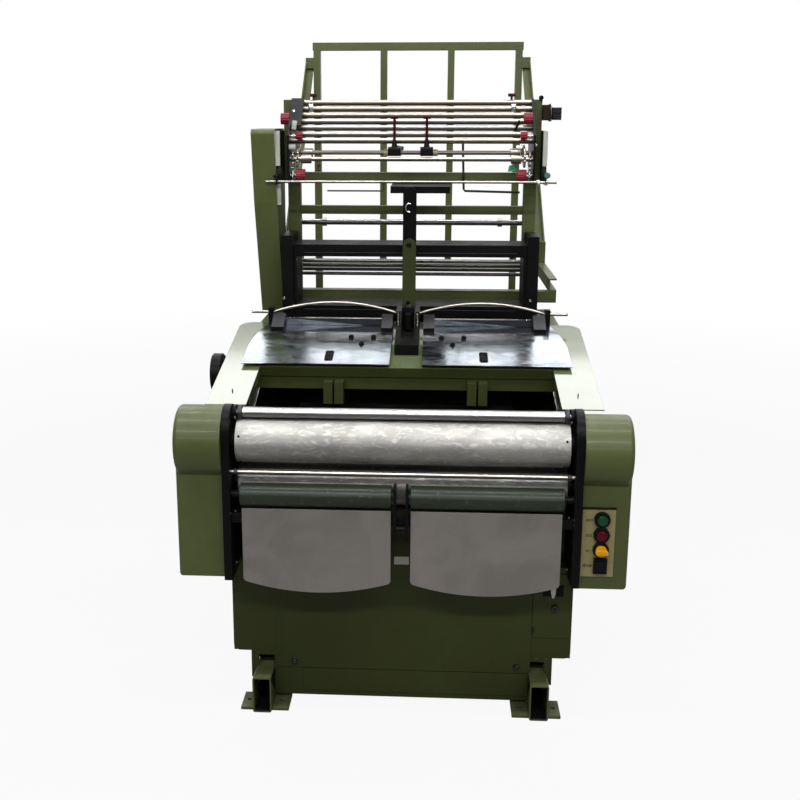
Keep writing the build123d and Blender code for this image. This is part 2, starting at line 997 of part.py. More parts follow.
with BuildPart() as front_aprons:
    for side in (-1, 1):
        with BuildSketch(Plane.XZ.offset(-from_face(apron_y))) as apron_outline:
            inner, outer = side * apron_inner, side * apron_outer
            with BuildLine():
                Polyline(
                    (outer, apron_corner_z),
                    (outer, apron_top),
                    (inner, apron_top),
                    (inner, apron_corner_z),
                )
                ThreePointArc(
                    (inner, apron_corner_z),
                    ((inner + outer) / 2, apron_corner_z - apron_sag),
                    (outer, apron_corner_z),
                )
            make_face()
            fillet(apron_outline.vertices().group_by(Axis.Y)[0], apron_corner)
        extrude(amount=-apron_thickness)
save(front_aprons.part, "front_aprons")

# Control panel with button rings, selector seat and rocker frame
with BuildPart() as control_panel:
    with BuildSketch(Plane.XZ.offset(-face_y)):
        with Locations((panel_left + panel_width / 2, panel_bottom + panel_height / 2)):
            Rectangle(panel_width, panel_height)
    extrude(amount=panel_thickness)
    with BuildSketch(Plane.XZ.offset(-face_y + panel_thickness)):
        with Locations((control_x, start_z), (control_x, stop_z), (control_x, selector_z)):
            Circle(ring_radius)
        with Locations((control_x, start_z), (control_x, stop_z)):
            Circle(button_radius + bore_clearance, mode=Mode.SUBTRACT)
        with Locations((control_x, selector_z)):
            Circle(knob_stem + bore_clearance, mode=Mode.SUBTRACT)
        with Locations((control_x, rocker_z)):
            Rectangle(rocker_width + 2 * rocker_frame, rocker_height + 2 * rocker_frame)
            Rectangle(rocker_width + rocker_gap, rocker_height + rocker_gap, mode=Mode.SUBTRACT)
    extrude(amount=ring_height)
save(control_panel.part, "control_panel")

panel_front = -face_y + panel_thickness
for button_name, button_z in (("start_button", start_z), ("stop_button", stop_z)):
    with BuildPart() as button:
        with BuildSketch(Plane.XZ.offset(panel_front + button_travel + control_gap)):
            with Locations((control_x, button_z)):
                Circle(button_radius)
        extrude(amount=button_reach - button_travel - control_gap)
        fillet(button.faces().sort_by(Axis.Y)[0].edges(), button_edge)
    save(button.part, button_name)

with BuildPart() as selector_knob:
    with BuildSketch(Plane.XZ.offset(panel_front + control_gap)):
        with Locations((control_x, selector_z)):
            Circle(knob_stem)
    extrude(amount=ring_height)
    with BuildSketch(Plane.XZ.offset(panel_front + ring_height + knob_lift)):
        with Locations((control_x, selector_z)):
            Circle(knob_radius)
    extrude(amount=knob_reach)
    with BuildSketch(Plane.XZ.offset(panel_front + ring_height + knob_lift + knob_reach)):
        with Locations((control_x, selector_z)):
            SlotOverall(2 * (knob_radius + handle_overhang), knob_handle)
    extrude(amount=knob_reach)
save(selector_knob.part, "selector_knob")

with BuildPart() as rocker_switch:
    rocker_face = -(panel_front + rocker_depth)
    rocker_half = rocker_height / 2 - rocker_gap
    with BuildSketch(Plane.YZ.offset(control_x - rocker_width / 2)):
        with BuildLine():
            Polyline(
                (rocker_face + rocker_root, rocker_z - rocker_half),
                (rocker_face - rocker_tip, rocker_z - rocker_half),
                (rocker_face - rocker_waist, rocker_z),
                (rocker_face - rocker_tip, rocker_z + rocker_half),
                (rocker_face + rocker_root, rocker_z + rocker_half),
                close=True,
            )
        make_face()
    extrude(amount=rocker_width)
save(rocker_switch.part, "rocker_switch")

# Handwheel with its shaft into the left side of the body
wheel_outer_x = -(table_half + wheel_gap + wheel_width)
wheel_inner_x = wheel_outer_x + wheel_width
wheel_middle = (wheel_outer_x + wheel_inner_x) / 2
turned_wheel = turned(
    from_face(wheel_y),
    wheel_z,
    [
        (wheel_outer_x + wheel_edge, wheel_hub_end),
        (wheel_middle - wheel_web / 2, wheel_hub),
        (wheel_middle - wheel_web / 2, wheel_radius - wheel_rim),
        (wheel_outer_x, wheel_radius - wheel_rim),
        (wheel_outer_x, wheel_radius - wheel_edge),
        (wheel_outer_x + wheel_edge, wheel_radius),
        (wheel_inner_x - wheel_edge, wheel_radius),
        (wheel_inner_x, wheel_radius - wheel_edge),
        (wheel_inner_x, wheel_radius - wheel_rim),
        (wheel_middle + wheel_web / 2, wheel_radius - wheel_rim),
        (wheel_middle + wheel_web / 2, wheel_hub),
        (wheel_inner_x, wheel_hub_end),
        (wheel_inner_x, wheel_shaft),
        (-side_inner, wheel_shaft),
    ],
)
with BuildPart() as handwheel:
    add(turned_wheel.part)
    with BuildSketch(Plane.YZ.offset(wheel_outer_x)):
        with Locations((from_face(wheel_y), wheel_z)):
            with PolarLocations(wheel_hole_ring, wheel_holes):
                Circle(wheel_hole_radius)
    extrude(amount=wheel_width, mode=Mode.SUBTRACT)
save(handwheel.part, "handwheel")

# Weaving heads: sloped plinths with an end block at each side
for side, head_name in ((-1, "head_left"), (1, "head_right")):
    with BuildPart() as head:
        plinth_length = along_table(head_rear_y - head_front_y)
        with BuildSketch(table_plane(head_front_y)):
            with Locations((side * (head_inner + head_outer) / 2, plinth_length / 2)):
                Rectangle(head_outer - head_inner, plinth_length)
            with Locations((side * slot_x, along_table(slot_y - head_front_y))):
                RectangleRounded(slot_width, slot_length, slot_corner, mode=Mode.SUBTRACT)
        extrude(amount=head_plinth)
        for start, width in (
            (head_inner, head_block_inner_width),
            (head_outer - head_block_outer_width, head_block_outer_width),
        ):
            seat = table_z(head_block_front_y) + head_plinth_rise - head_block_sink
            saddle_z = bow_z - bow_radius - rod_saddle_gap
            rear_seat = table_z(head_rear_y) + head_plinth_rise - head_block_sink
            with BuildSketch(Plane.YZ.offset(side * start)):
                with BuildLine():
                    Polyline(
                        (from_face(head_block_front_y), seat),
                        (from_face(head_block_front_y), seat + head_block_nose),
                        (from_face(bow_y - head_block_back), head_block_top - head_block_slope),
                        (from_face(bow_y - head_block_back), saddle_z),
                        (from_face(head_rear_y), saddle_z),
                        (from_face(head_rear_y), rear_seat),
                        close=True,
                    )
                make_face()
            extrude(amount=side * width)
    save(head.part, head_name)

with BuildPart() as head_aprons:
    apron_length = along_table(head_apron_rear_y - head_apron_front_y)
    apron_reach = table_half - head_apron_margin
    flap_length = along_table(head_flap_rear_y - head_apron_front_y)
    corner_start = along_table(head_corner_y - head_apron_front_y)
    flap_inner = head_outer + head_flap_gap
    flap_outer = flap_inner + head_flap_end
    corner_x = (apron_reach + flap_outer) / 2 + head_flap_bulge
    for side in (-1, 1):
        with BuildSketch(table_plane(head_apron_front_y, head_plinth)):
            with BuildLine():
                Polyline(
                    (side * flap_outer, flap_length),
                    (side * flap_inner, flap_length),
                    (side * flap_inner, apron_length),
                    (side * head_inner, apron_length),
                    (side * head_inner, 0),
                    (side * apron_reach, 0),
                    (side * apron_reach, corner_start),
                )
                ThreePointArc(
                    (side * apron_reach, corner_start),
                    (side * corner_x, (corner_start + flap_length) / 2),
                    (side * flap_outer, flap_length),
                )
            make_face()
            with Locations((side * slot_x, along_table(slot_y - head_apron_front_y))):
                RectangleRounded(slot_width, slot_length, slot_corner, mode=Mode.SUBTRACT)
        extrude(amount=head_apron_sheet)
save(head_aprons.part, "head_aprons")

with BuildPart() as batten_bars:
    for side in (-1, 1):
        ends = sorted(
            (
                side * (head_inner + head_block_inner_width),
                side * (head_outer - head_block_outer_width),
            )
        )
        with BuildSketch(table_plane(head_block_front_y, head_plinth)):
            with Locations(((ends[0] + ends[1]) / 2, bar_depth / 2)):
                Rectangle(ends[1] - ends[0], bar_depth)
        extrude(amount=bar_height)
        with BuildSketch(table_plane(reed_front_y, head_plinth)):
            with Locations(((ends[0] + ends[1]) / 2, reed_depth / 2)):
                Rectangle(ends[1] - ends[0], reed_depth)
        extrude(amount=reed_height)
save(batten_bars.part, "batten_bars")

# Bow shaped stop rod: stubs and middle on one axis, a shallow arc over each head
with BuildPart() as stop_bow_rod:
    for side in (-1, 1):
        with BuildLine():
            ThreePointArc(
                (side * bow_middle, from_face(bow_y), bow_z),
                (side * (bow_middle + bow_end) / 2, from_face(bow_y), bow_z + bow_rise),
                (side * bow_end, from_face(bow_y), bow_z),
            )
        with BuildSketch(Plane.YZ.offset(side * bow_middle)):
            with Locations((from_face(bow_y), bow_z)):
                Circle(bow_radius)
        sweep(transition=Transition.RIGHT)
        rod(sorted((side * bow_end, side * (head_outer + bow_stub))), from_face(bow_y), bow_z, bow_radius)
    rod((-bow_middle, bow_middle), from_face(bow_y), bow_z, bow_radius)
save(stop_bow_rod.part, "stop_bow_rod")

with BuildPart() as rod_clamps:
    for side in (-1, 1):
        with BuildSketch(Plane.YZ.offset(side * head_outer)):
            with BuildLine():
                Polyline(
                    (from_face(bow_y - clamp_half_depth), table_z(bow_y - clamp_half_depth)),
                    (from_face(bow_y - clamp_half_depth), clamp_top),
                    (from_face(bow_y + clamp_half_depth), clamp_top),
                    (from_face(bow_y + clamp_half_depth), table_z(bow_y + clamp_half_depth)),
                    close=True,
                )
            make_face()
            with Locations((from_face(bow_y), bow_z)):
                Circle(bow_radius + bore_clearance, mode=Mode.SUBTRACT)
        extrude(amount=side * clamp_width)
save(rod_clamps.part, "rod_clamps")

# Black block between the heads, slotted from above and bored for the stop rod
with BuildPart() as centre_block:
    with BuildSketch(Plane.YZ.offset(-centre_half)):
        with BuildLine():
            Polyline(
                (from_face(centre_tail_y), table_z(centre_tail_y)),
                (from_face(centre_tail_y), table_z(centre_tail_y) + centre_tail_height),
                (from_face(centre_front_y), table_z(centre_front_y) + centre_tail_height),
                (from_face(centre_front_y), centre_top),
                (from_face(link_y), centre_top),
                (from_face(link_y), table_z(link_y)),
                close=True,
            )
        make_face()
    extrude(amount=2 * centre_half)
    with BuildSketch(Plane.XZ.offset(-from_face(centre_tail_y - cut_margin))):
        with Locations((0, table_z(centre_front_y) + centre_slot_rise + centre_top / 2)):
            Rectangle(2 * centre_slot, centre_top)
    extrude(amount=-(bow_y - centre_wall - centre_tail_y + cut_margin), mode=Mode.SUBTRACT)
    block(
        (-centre_bar_half, centre_bar_half),
        (from_face(centre_bar_front_y), from_face(bow_y - centre_wall)),
        (table_z(bow_y), centre_top - centre_bar_drop),
    )
    with BuildSketch(Plane.YZ.offset(-centre_half)):
        with Locations((from_face(bow_y), bow_z)):
            Circle(bow_radius + bore_clearance)
    extrude(amount=2 * centre_half, mode=Mode.SUBTRACT)
save(centre_block.part, "centre_block")

# Link and tie that stay the upper beam to the heads
with BuildPart() as centre_tie:
    with BuildSketch(Plane.XZ.offset(-from_face(link_y))):
        with Locations((0, (link_bottom + link_top) / 2)):
            SlotOverall(link_top - link_bottom, link_width, rotation=90)
        with Locations((0, link_bottom + link_width / 2), (0, link_top - link_width / 2)):
            Circle(link_hole, mode=Mode.SUBTRACT)
    extrude(amount=-link_thickness)
    with BuildSketch(Plane.XZ.offset(-from_face(link_rear_y))):
        with Locations((0, (link_top - link_width + upper_beam_bottom) / 2)):
            SlotOverall(upper_beam_bottom - link_top + link_width, link_width, rotation=90)
    extrude(amount=-tie_thickness)
    block(
        (-tie_plate_left, tie_plate_right),
        (from_face(tie_rear_y), from_face(post_rear_y)),
        (upper_beam_bottom - tie_plate_thickness, upper_beam_bottom),
    )
    block(
        (-tie_plate_left, tie_plate_right),
        (from_face(tie_rear_y), from_face(tie_rear_y + tie_lip_depth)),
        (upper_beam_bottom - tie_lip_height, upper_beam_bottom),
    )
save(centre_tie.part, "centre_tie")

# Grooved guide posts and the heald frames that run in them
groove_width = frame_thickness + 2 * slide_gap
first_frame_y = guide_front_y + (guide_depth - frame_pitch * (frame_count - 1)) / 2
with BuildPart() as heald_posts:
    for side in (-1, 1):
        with BuildSketch(Plane.XY.offset(deck_z)):
            with Locations(
                (
                    side * (guide_inner + guide_width / 2),
                    from_face(guide_front_y + guide_depth / 2),
                )
            ):
                Rectangle(guide_width, guide_depth)
            for index in range(frame_count):
                with Locations(
                    (
                        side * (guide_inner + guide_groove / 2),
                        from_face(first_frame_y + index * frame_pitch),
                    )
                ):
                    Rectangle(guide_groove, groove_width, mode=Mode.SUBTRACT)
        extrude(amount=guide_top - deck_z)
save(heald_posts.part, "heald_posts")

for name, first in (("heald_frames_odd", 0), ("heald_frames_even", 1)):
    with BuildPart() as heald_frames:
        for index in range(first, frame_count, 2):
            middle = from_face(first_frame_y + index * frame_pitch)
            with BuildSketch(Plane.XZ.offset(-middle + frame_thickness / 2)):
                with Locations((0, (frame_bottom + frame_top) / 2)):
                    Rectangle(2 * frame_half, frame_top - frame_bottom)
                    Rectangle(
                        2 * (frame_half - frame_side),
                        frame_top - frame_bottom - 2 * frame_bar,
                        mode=Mode.SUBTRACT,
                    )
            extrude(amount=-frame_thickness)
    save(heald_frames.part, name)

# Upright frame above the body
with BuildPart() as frame_posts:
    for side in (-1, 1):
        block(
            sorted((side * post_inner, side * post_outer)),
            (from_face(post_front_y), from_face(post_rear_y)),
            (deck_z, upper_beam_bottom),
        )
        block(
            sorted((side * (upper_half - side_post_width), side * upper_half)),
            (from_face(post_front_y), from_face(post_rear_y)),
            (upper_beam_top, side_post_top),
        )
save(frame_posts.part, "frame_posts")

with BuildPart() as frame_beams:
    block(
        (-upper_half, upper_half),
        (from_face(post_front_y), from_face(post_rear_y)),
        (upper_beam_bottom, upper_beam_top),
    )
    block(
        (-post_inner, post_inner),
        (from_face(beam_front_y), from_face(beam_front_y + beam_depth)),
        (middle_beam_top - middle_beam_height, middle_beam_top),
    )
    for front in (post_rear_y, rear_beam_front_y):
        depth = rail_start_y - post_rear_y if front == post_rear_y else rail_width
        block(
            (-cross_beam_half, cross_beam_half),
            (from_face(front), from_face(front + depth)),
            (cross_beam_bottom, cross_beam_bottom + cross_beam_height),
        )
save(frame_beams.part, "frame_beams")

# Channels on the cross beams, running back to the rear frame and open outwards
with BuildPart() as side_rails:
    for side in (-1, 1):
        with BuildSketch(Plane.XZ.offset(-from_face(post_rear_y))):
            with Locations(
                (side * (cross_beam_half - rail_width / 2), cross_beam_top + rail_rise / 2)
            ):
                Rectangle(rail_width, rail_rise)
            with Locations(
                (
                    side * (cross_beam_half - rail_width / 2 + cross_wall / 2),
                    cross_beam_top + rail_rise / 2,
                )
            ):
                Rectangle(
                    rail_width - cross_wall,
                    rail_rise - 2 * cross_wall,
                    mode=Mode.SUBTRACT,
                )
        extrude(amount=-(upright_front_y - post_rear_y))
save(side_rails.part, "side_rails")

# Rear frame: four uprights, a top beam and a sill
with BuildPart() as rear_uprights:
    for side in (-1, 1):
        for middle, bottom in ((upright_outer_x, 0), (upright_inner_x, cross_beam_bottom)):
            block(
                (side * middle - upright_width / 2, side * middle + upright_width / 2),
                (from_face(upright_front_y), from_face(rear_y)),
                (bottom, overall_height - top_beam_height),
            )
        with BuildSketch():
            with Locations(
                (side * upright_outer_x, from_face(rear_y - upright_depth / 2))
            ):
                Rectangle(rear_foot, upright_depth)
            with Locations(
                (
                    side * (upright_outer_x + rear_foot / 2 - foot_corner - anchor_hole_radius),
                    from_face(rear_y - upright_depth / 2),
                ),
                (
                    side * (upright_outer_x - rear_foot / 2 + foot_corner + anchor_hole_radius),
                    from_face(rear_y - upright_depth / 2),
                ),
            ):
                Circle(anchor_hole_radius, mode=Mode.SUBTRACT)
        extrude(amount=rear_foot_plate)
save(rear_uprights.part, "rear_uprights")

with BuildPart() as rear_beams:
    top_half = upright_outer_x + upright_width / 2 + top_beam_overhang
    block(
        (-top_half, top_half),
        (from_face(upright_front_y), from_face(rear_y)),
        (overall_height - top_beam_height, overall_height),
    )
    sill_half = upright_outer_x - upright_width / 2
    block(
        (-sill_half, sill_half),
        (from_face(upright_front_y), from_face(rear_y)),
        (sill_bottom, sill_bottom + sill_height),
    )
save(rear_beams.part, "rear_beams")

# Braces from the rear uprights forward and down to the side rails
with BuildPart() as rear_brace:
    rail_top_z = cross_beam_top + rail_rise
    block(
        (cross_beam_half - rail_width, cross_beam_half),
        (from_face(brace_foot_y - brace_foot_length), from_face(brace_foot_y)),
        (rail_top_z, rail_top_z + brace_foot_height),
    )
    lug_x = upright_outer_x + upright_width / 2
    lug_z = overall_height - top_beam_height - brace_drop
    block(
        (lug_x, lug_x + brace_width),
        (from_face(upright_front_y), from_face(upright_front_y + brace_bar)),
        (lug_z - brace_bar, lug_z + brace_bar / 2),
    )
    low = Vector(
        cross_beam_half - rail_width / 2,
        from_face(brace_foot_y - brace_foot_length / 2),
        rail_top_z + brace_foot_height / 2,
    )
    high = Vector(
        lug_x + brace_width / 2,
        from_face(upright_front_y + brace_bar / 2),
        lug_z - brace_bar / 4,
    )
    with BuildSketch(Plane(origin=low, x_dir=(1, 0, 0), z_dir=high - low)):
        with Locations((0, (brace_bar - brace_wall) / 2)):
            Rectangle(brace_width, brace_wall)
        with Locations(((brace_width - brace_wall) / 2, 0)):
            Rectangle(brace_wall, brace_bar)
    extrude(amount=(high - low).length)
save_sides(rear_brace, "rear_brace")

# Warp rods and the side brackets that hold them
with BuildPart() as warp_rod_brackets:
    for side in (-1, 1):
        block(
            sorted((side * post_outer, side * (post_outer - bracket_sheet))),
            (from_face(post_rear_y), from_face(post_rear_y + bracket_depth)),
            (bracket_bottom, bracket_top),
        )
save(warp_rod_brackets.part, "warp_rod_brackets")

with BuildPart() as warp_rods:
    reach = post_outer - bracket_sheet
    for index in range(warp_rod_count):
        rod(
            (-reach, reach),
            from_face(warp_rod_y + index * warp_rod_pitch_y),
            warp_rod_top - index * warp_rod_pitch_z,
            warp_rod_radius,
        )
    rod((-reach, reach), from_face(warp_rod_y), warp_tube_z, warp_tube_radius)
    for middle in (-warp_collar_x, warp_collar_x):
        rod(
            (middle - warp_collar_width / 2, middle + warp_collar_width / 2),
            from_face(warp_rod_y),
            warp_tube_z,
            warp_collar_radius,
        )
save(warp_rods.part, "warp_rods")

# Feeder: side sheets on the side posts, with the chain loops that run inside them
inner_wheel_x = (feeder_inner - inner_sprocket_inset, feeder_inner - inner_sprocket_inset + sprocket_width)
outer_wheel_x = (feeder_inner - outer_sprocket_inset, feeder_inner - outer_sprocket_inset + sprocket_width)
chain_margin = (chain_width - sprocket_width) / 2
knob_axes = [
    (upper_knob_y, upper_knob_z),
    (middle_knob_y, middle_knob_z),
    (lower_knob_y, lower_knob_z),
]
shaft_axes = [(feed_upper_y, feed_upper_z), (feed_lower_y, feed_lower_z)]
chain_runs = [
    (inner_wheel_x, shaft_axes[0], shaft_axes[1], inner_sprocket_radius),
    (outer_wheel_x, shaft_axes[1], knob_axes[2], outer_sprocket_radius),
]
with BuildPart() as feeder_sheets:
    edge_foot = Vector(from_face(feeder_front_y), tube_bottom_z + 2 * tube_radius)
    edge_head = Vector(from_face(tube_top_y - 2 * tube_radius), feeder_top)
    for side in (-1, 1):
        with BuildSketch(Plane.YZ.offset(side * feeder_outer)):
            with BuildLine():
                Polyline(
                    (from_face(feeder_front_y), feeder_lug_bottom),
                    (edge_foot.X, edge_foot.Y),
                    (edge_head.X, edge_head.Y),
                    (from_face(post_front_y + post_depth / 2), feeder_top),
                    (from_face(post_rear_y), tube_bottom_z),
                    (from_face(post_rear_y), feeder_bottom),
                    (from_face(feeder_lug_rear_y), feeder_bottom),
                    (from_face(feeder_lug_rear_y), feeder_lug_bottom),
                    close=True,
                )
            make_face()
            for axis_y, axis_z in shaft_axes:
                with Locations((from_face(axis_y), axis_z)):
                    Circle(feed_radius + bore_clearance, mode=Mode.SUBTRACT)
            for axis_y, axis_z in knob_axes:
                with Locations((from_face(axis_y), axis_z)):
                    Circle(spindle_radius + bore_clearance, mode=Mode.SUBTRACT)
        extrude(amount=-side * feeder_sheet)
    edge_slope = (edge_head.Y - edge_foot.Y) / (edge_head.X - edge_foot.X)
    flange_foot_y = edge_foot.X + (feeder_flange_bottom - edge_foot.Y) / edge_slope
    with BuildSketch(Plane.YZ.offset(-feeder_inner)):
        with BuildLine():
            Polyline(
                (flange_foot_y, feeder_flange_bottom),
                (edge_head.X, edge_head.Y),
                (edge_head.X + feeder_flange_sheet, edge_head.Y),
                (flange_foot_y + feeder_flange_sheet, feeder_flange_bottom - feeder_flange_sheet),
                close=True,
            )
        make_face()
    extrude(amount=feeder_flange)
    for wheel_x, first, second, tip_radius in chain_runs:
        right_loop = chain_loop(
            (wheel_x[0] - chain_margin, wheel_x[1] + chain_margin), first, second, tip_radius
        )
        add(right_loop.part)
        add(mirror(right_loop.part, about=Plane.YZ, mode=Mode.PRIVATE))
save(feeder_sheets.part, "feeder_sheets")

with BuildPart() as feeder_tubes:
    for index in range(tube_count):
        rod(
            (-feeder_inner, feeder_inner),
            from_face(tube_top_y - index * tube_pitch_y),
            tube_top_z - index * tube_pitch_z,
            tube_radius,
        )
save(feeder_tubes.part, "feeder_tubes")

# Feed shafts with a bright collar and chain wheels at each end, two on the lower one
collar_end = feeder_inner - feed_collar_end
for name, (axis_y, axis_z) in zip(("feed_shaft_upper", "feed_shaft_lower"), shaft_axes):
    with BuildPart() as feed_shaft:
        y, z = from_face(axis_y), axis_z
        shaft_end = feeder_outer - journal_inset
        rod((-shaft_end, shaft_end), y, z, feed_radius)
        for side in (-1, 1):
            rod(sorted((side * (collar_end - feed_collar_length), side * collar_end)), y, z, feed_collar)
            inner_limits = sorted(side * limit for limit in inner_wheel_x)
            outer_limits = sorted(side * limit for limit in outer_wheel_x)
            toothed_wheel(inner_limits, y, z, inner_sprocket_radius, inner_sprocket_teeth)
            if name == "feed_shaft_lower":
                toothed_wheel(outer_limits, y, z, outer_sprocket_radius, outer_sprocket_teeth)
    save(feed_shaft.part, name)

# Holders on the upper feed shaft, with a pressure screw and a round nut on each
with BuildPart() as feeder_holders:
    holder_top = holder_z + holder_height / 2
    for index, middle in enumerate(holder_x):
        outward = 2 * index - 1
        with BuildSketch(Plane.YZ.offset(middle - holder_width / 2)):
            with Locations((from_face(holder_y), holder_z)):
                RectangleRounded(holder_depth, holder_height, holder_corner)
            with Locations((from_face(feed_upper_y), feed_upper_z)):
                Circle(feed_radius + bore_clearance, mode=Mode.SUBTRACT)
        extrude(amount=holder_width)
        with BuildSketch(Plane(origin=(middle, from_face(screw_y), 0), x_dir=(1, 0, 0), z_dir=(0, -1, 0))):
            with BuildLine():
                Polyline(
                    (0, holder_top - screw_radius),
                    (screw_foot_radius, holder_top - screw_radius),
                    (screw_radius, holder_top + screw_foot_height),
                    (screw_radius, screw_top),
                    (0, screw_top),
                    close=True,
                )
            make_face()
        revolve(axis=Axis((middle, from_face(screw_y), 0), (0, 0, 1)))
        rod(
            (middle - screw_bar / 2, middle + screw_bar / 2),
            from_face(screw_y),
            screw_top,
            screw_bar_radius,
        )
        nut_start = middle + outward * holder_width / 2
        nut_limits = sorted((nut_start, nut_start + outward * holder_knob_length))
        with BuildSketch(Plane.YZ.offset(nut_limits[0])):
            with Locations((from_face(feed_upper_y), feed_upper_z)):
                Circle(holder_knob_radius)
                Circle(feed_radius + bore_clearance, mode=Mode.SUBTRACT)
        extrude(amount=holder_knob_length)
save(feeder_holders.part, "feeder_holders")


def hand_knob(limits, y, z, radius):
    """Adds a fluted knob between the two limits along X."""
    with BuildSketch(Plane.YZ.offset(limits[0])) as grip:
        with Locations((y, z)):
            Circle(radius)
            with PolarLocations(radius + flute_radius / 2, knob_flutes):
                Circle(flute_radius, mode=Mode.SUBTRACT)
    extrude(grip.sketch, amount=limits[1] - limits[0])


# Red hand knobs with their spindles and chain shoes, and the screws on the top tube
with BuildPart() as hand_knobs:
    knob_end = outer_wheel_x[0] - slide_gap - sprocket_width
    spindle_end = feeder_outer - journal_inset
    y, z = from_face(upper_knob_y), upper_knob_z
    hand_knob((-feeder_outer - upper_knob_length, -feeder_outer), y, z, upper_knob_radius)
    hand_knob((feeder_inner - upper_knob_length, feeder_inner), y, z, upper_knob_radius)
    rod((-feeder_outer, -feeder_inner + sprocket_width), y, z, spindle_radius)
    rod((feeder_inner, spindle_end), y, z, spindle_radius)
    for side in (-1, 1):
        for knob_y, knob_z, radius, length in (
            (middle_knob_y, middle_knob_z, middle_knob_radius, middle_knob_length),
            (lower_knob_y, lower_knob_z, lower_knob_radius, lower_knob_length),
        ):
            y, z = from_face(knob_y), knob_z
            hand_knob(sorted((side * (knob_end - length), side * knob_end)), y, z, radius)
            rod(sorted((side * knob_end, side * spindle_end)), y, z, spindle_radius)
        y, z = from_face(lower_knob_y), lower_knob_z
        rod(sorted(side * limit for limit in outer_wheel_x), y, z, shoe_radius)
        screw_seat = tube_top_z + tube_radius + tube_screw_gap
        with BuildSketch(Plane.XY.offset(screw_seat)):
            with Locations((side * tube_screw_x, from_face(tube_top_y))):
                Circle(tube_screw_radius)
        extrude(amount=tube_screw_height)
        rod(
            (side * tube_screw_x - tube_screw_bar / 2, side * tube_screw_x + tube_screw_bar / 2),
            from_face(tube_top_y),
            screw_seat + tube_screw_height,
            tube_screw_radius + chain_plate,
        )
save(hand_knobs.part, "hand_knobs")

# Thin pull rod across the front, in brackets that also guard the chains
pull_reach = upper_half + pull_rod_overhang
with BuildPart() as pull_rod:
    rod((-pull_reach, pull_reach), from_face(pull_rod_y), pull_rod_z, pull_rod_radius)
save(pull_rod.part, "pull_rod")

with BuildPart() as pull_rod_brackets:
    bracket_z = pull_rod_z + pull_bracket_height
    strip_rear_y = guard_front_y + guard_strip_depth
    strip_start = upper_half + pull_bracket_sheet + guard_strip_overlap - guard_strip_width
    for side in (-1, 1):
        with BuildSketch(Plane.YZ.offset(side * upper_half)):
            with BuildLine():
                Polyline(
                    (from_face(pull_rod_y - pull_bracket_nose), pull_rod_z - pull_bracket_drop),
                    (from_face(pull_rod_y - pull_bracket_nose), pull_rod_z + pull_bracket_nose),
                    (from_face(strip_rear_y), bracket_z),
                    (from_face(strip_rear_y), guard_top),
                    (from_face(post_rear_y), guard_top),
                    (from_face(post_rear_y), pull_rod_z - pull_bracket_drop),
                    close=True,
                )
            make_face()
            with Locations((from_face(pull_rod_y), pull_rod_z)):
                Circle(pull_rod_radius + bore_clearance, mode=Mode.SUBTRACT)
        extrude(amount=side * pull_bracket_sheet)
        with BuildSketch(Plane.XY.offset(bracket_z)):
            with Locations(
                (
                    side * (strip_start + guard_strip_width / 2),
                    from_face(guard_front_y + guard_strip_depth / 2),
                )
            ):
                Rectangle(guard_strip_width, guard_strip_depth)
        extrude(amount=guard_top - bracket_z)
save(pull_rod_brackets.part, "pull_rod_brackets")

# Tall belt cover leaning forward on the left
belt_right = -(upper_half + pull_bracket_sheet + belt_gap)
with BuildPart() as belt_cover:
    with BuildSketch(Plane.YZ.offset(belt_right - belt_width)) as belt_side:
        with BuildLine():
            Polyline(
                (from_face(belt_front_bottom_y), deck_z),
                (from_face(belt_knee_y), belt_knee_z),
                (from_face(belt_front_top_y), belt_top),
                (from_face(post_rear_y), belt_top),
                (from_face(post_rear_y), deck_z),
                close=True,
            )
        make_face()
        fillet(belt_side.vertices().group_by(Axis.Y)[-1], belt_edge)
    extrude(amount=belt_width)
    block(
        (belt_right, belt_right + belt_strip_width),
        (from_face(belt_strip_front_y), from_face(belt_strip_front_y + guard_strip_depth)),
        (belt_strip_bottom, belt_strip_top),
    )
save(belt_cover.part, "belt_cover")

# Gear motor on the right side post
with BuildPart() as gear_motor:
    gearbox_end = upper_half + gearbox_width
    block(
        (upper_half, gearbox_end),
        (from_face(post_front_y - motor_depth / 2), from_face(post_front_y + motor_depth / 2)),
        (motor_bottom, motor_bottom + motor_height),
    )
    motor_middle = (from_face(post_front_y), motor_bottom + motor_height / 2)
    with BuildSketch(Plane.YZ.offset(gearbox_end)):
        with Locations(motor_middle):
            RectangleRounded(
                motor_depth + 2 * motor_flange_rim, motor_height + 2 * motor_flange_rim, motor_corner
            )
    extrude(amount=motor_flange)
    with BuildSketch(Plane.YZ.offset(gearbox_end + motor_flange)):
        with Locations(motor_middle):
            RectangleRounded(motor_depth - 2 * motor_inset, motor_height - motor_inset, motor_corner)
    extrude(amount=motor_width)
save(gear_motor.part, "gear_motor")
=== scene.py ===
import json
import math

import bmesh
import bpy
from mathutils import Matrix, Vector


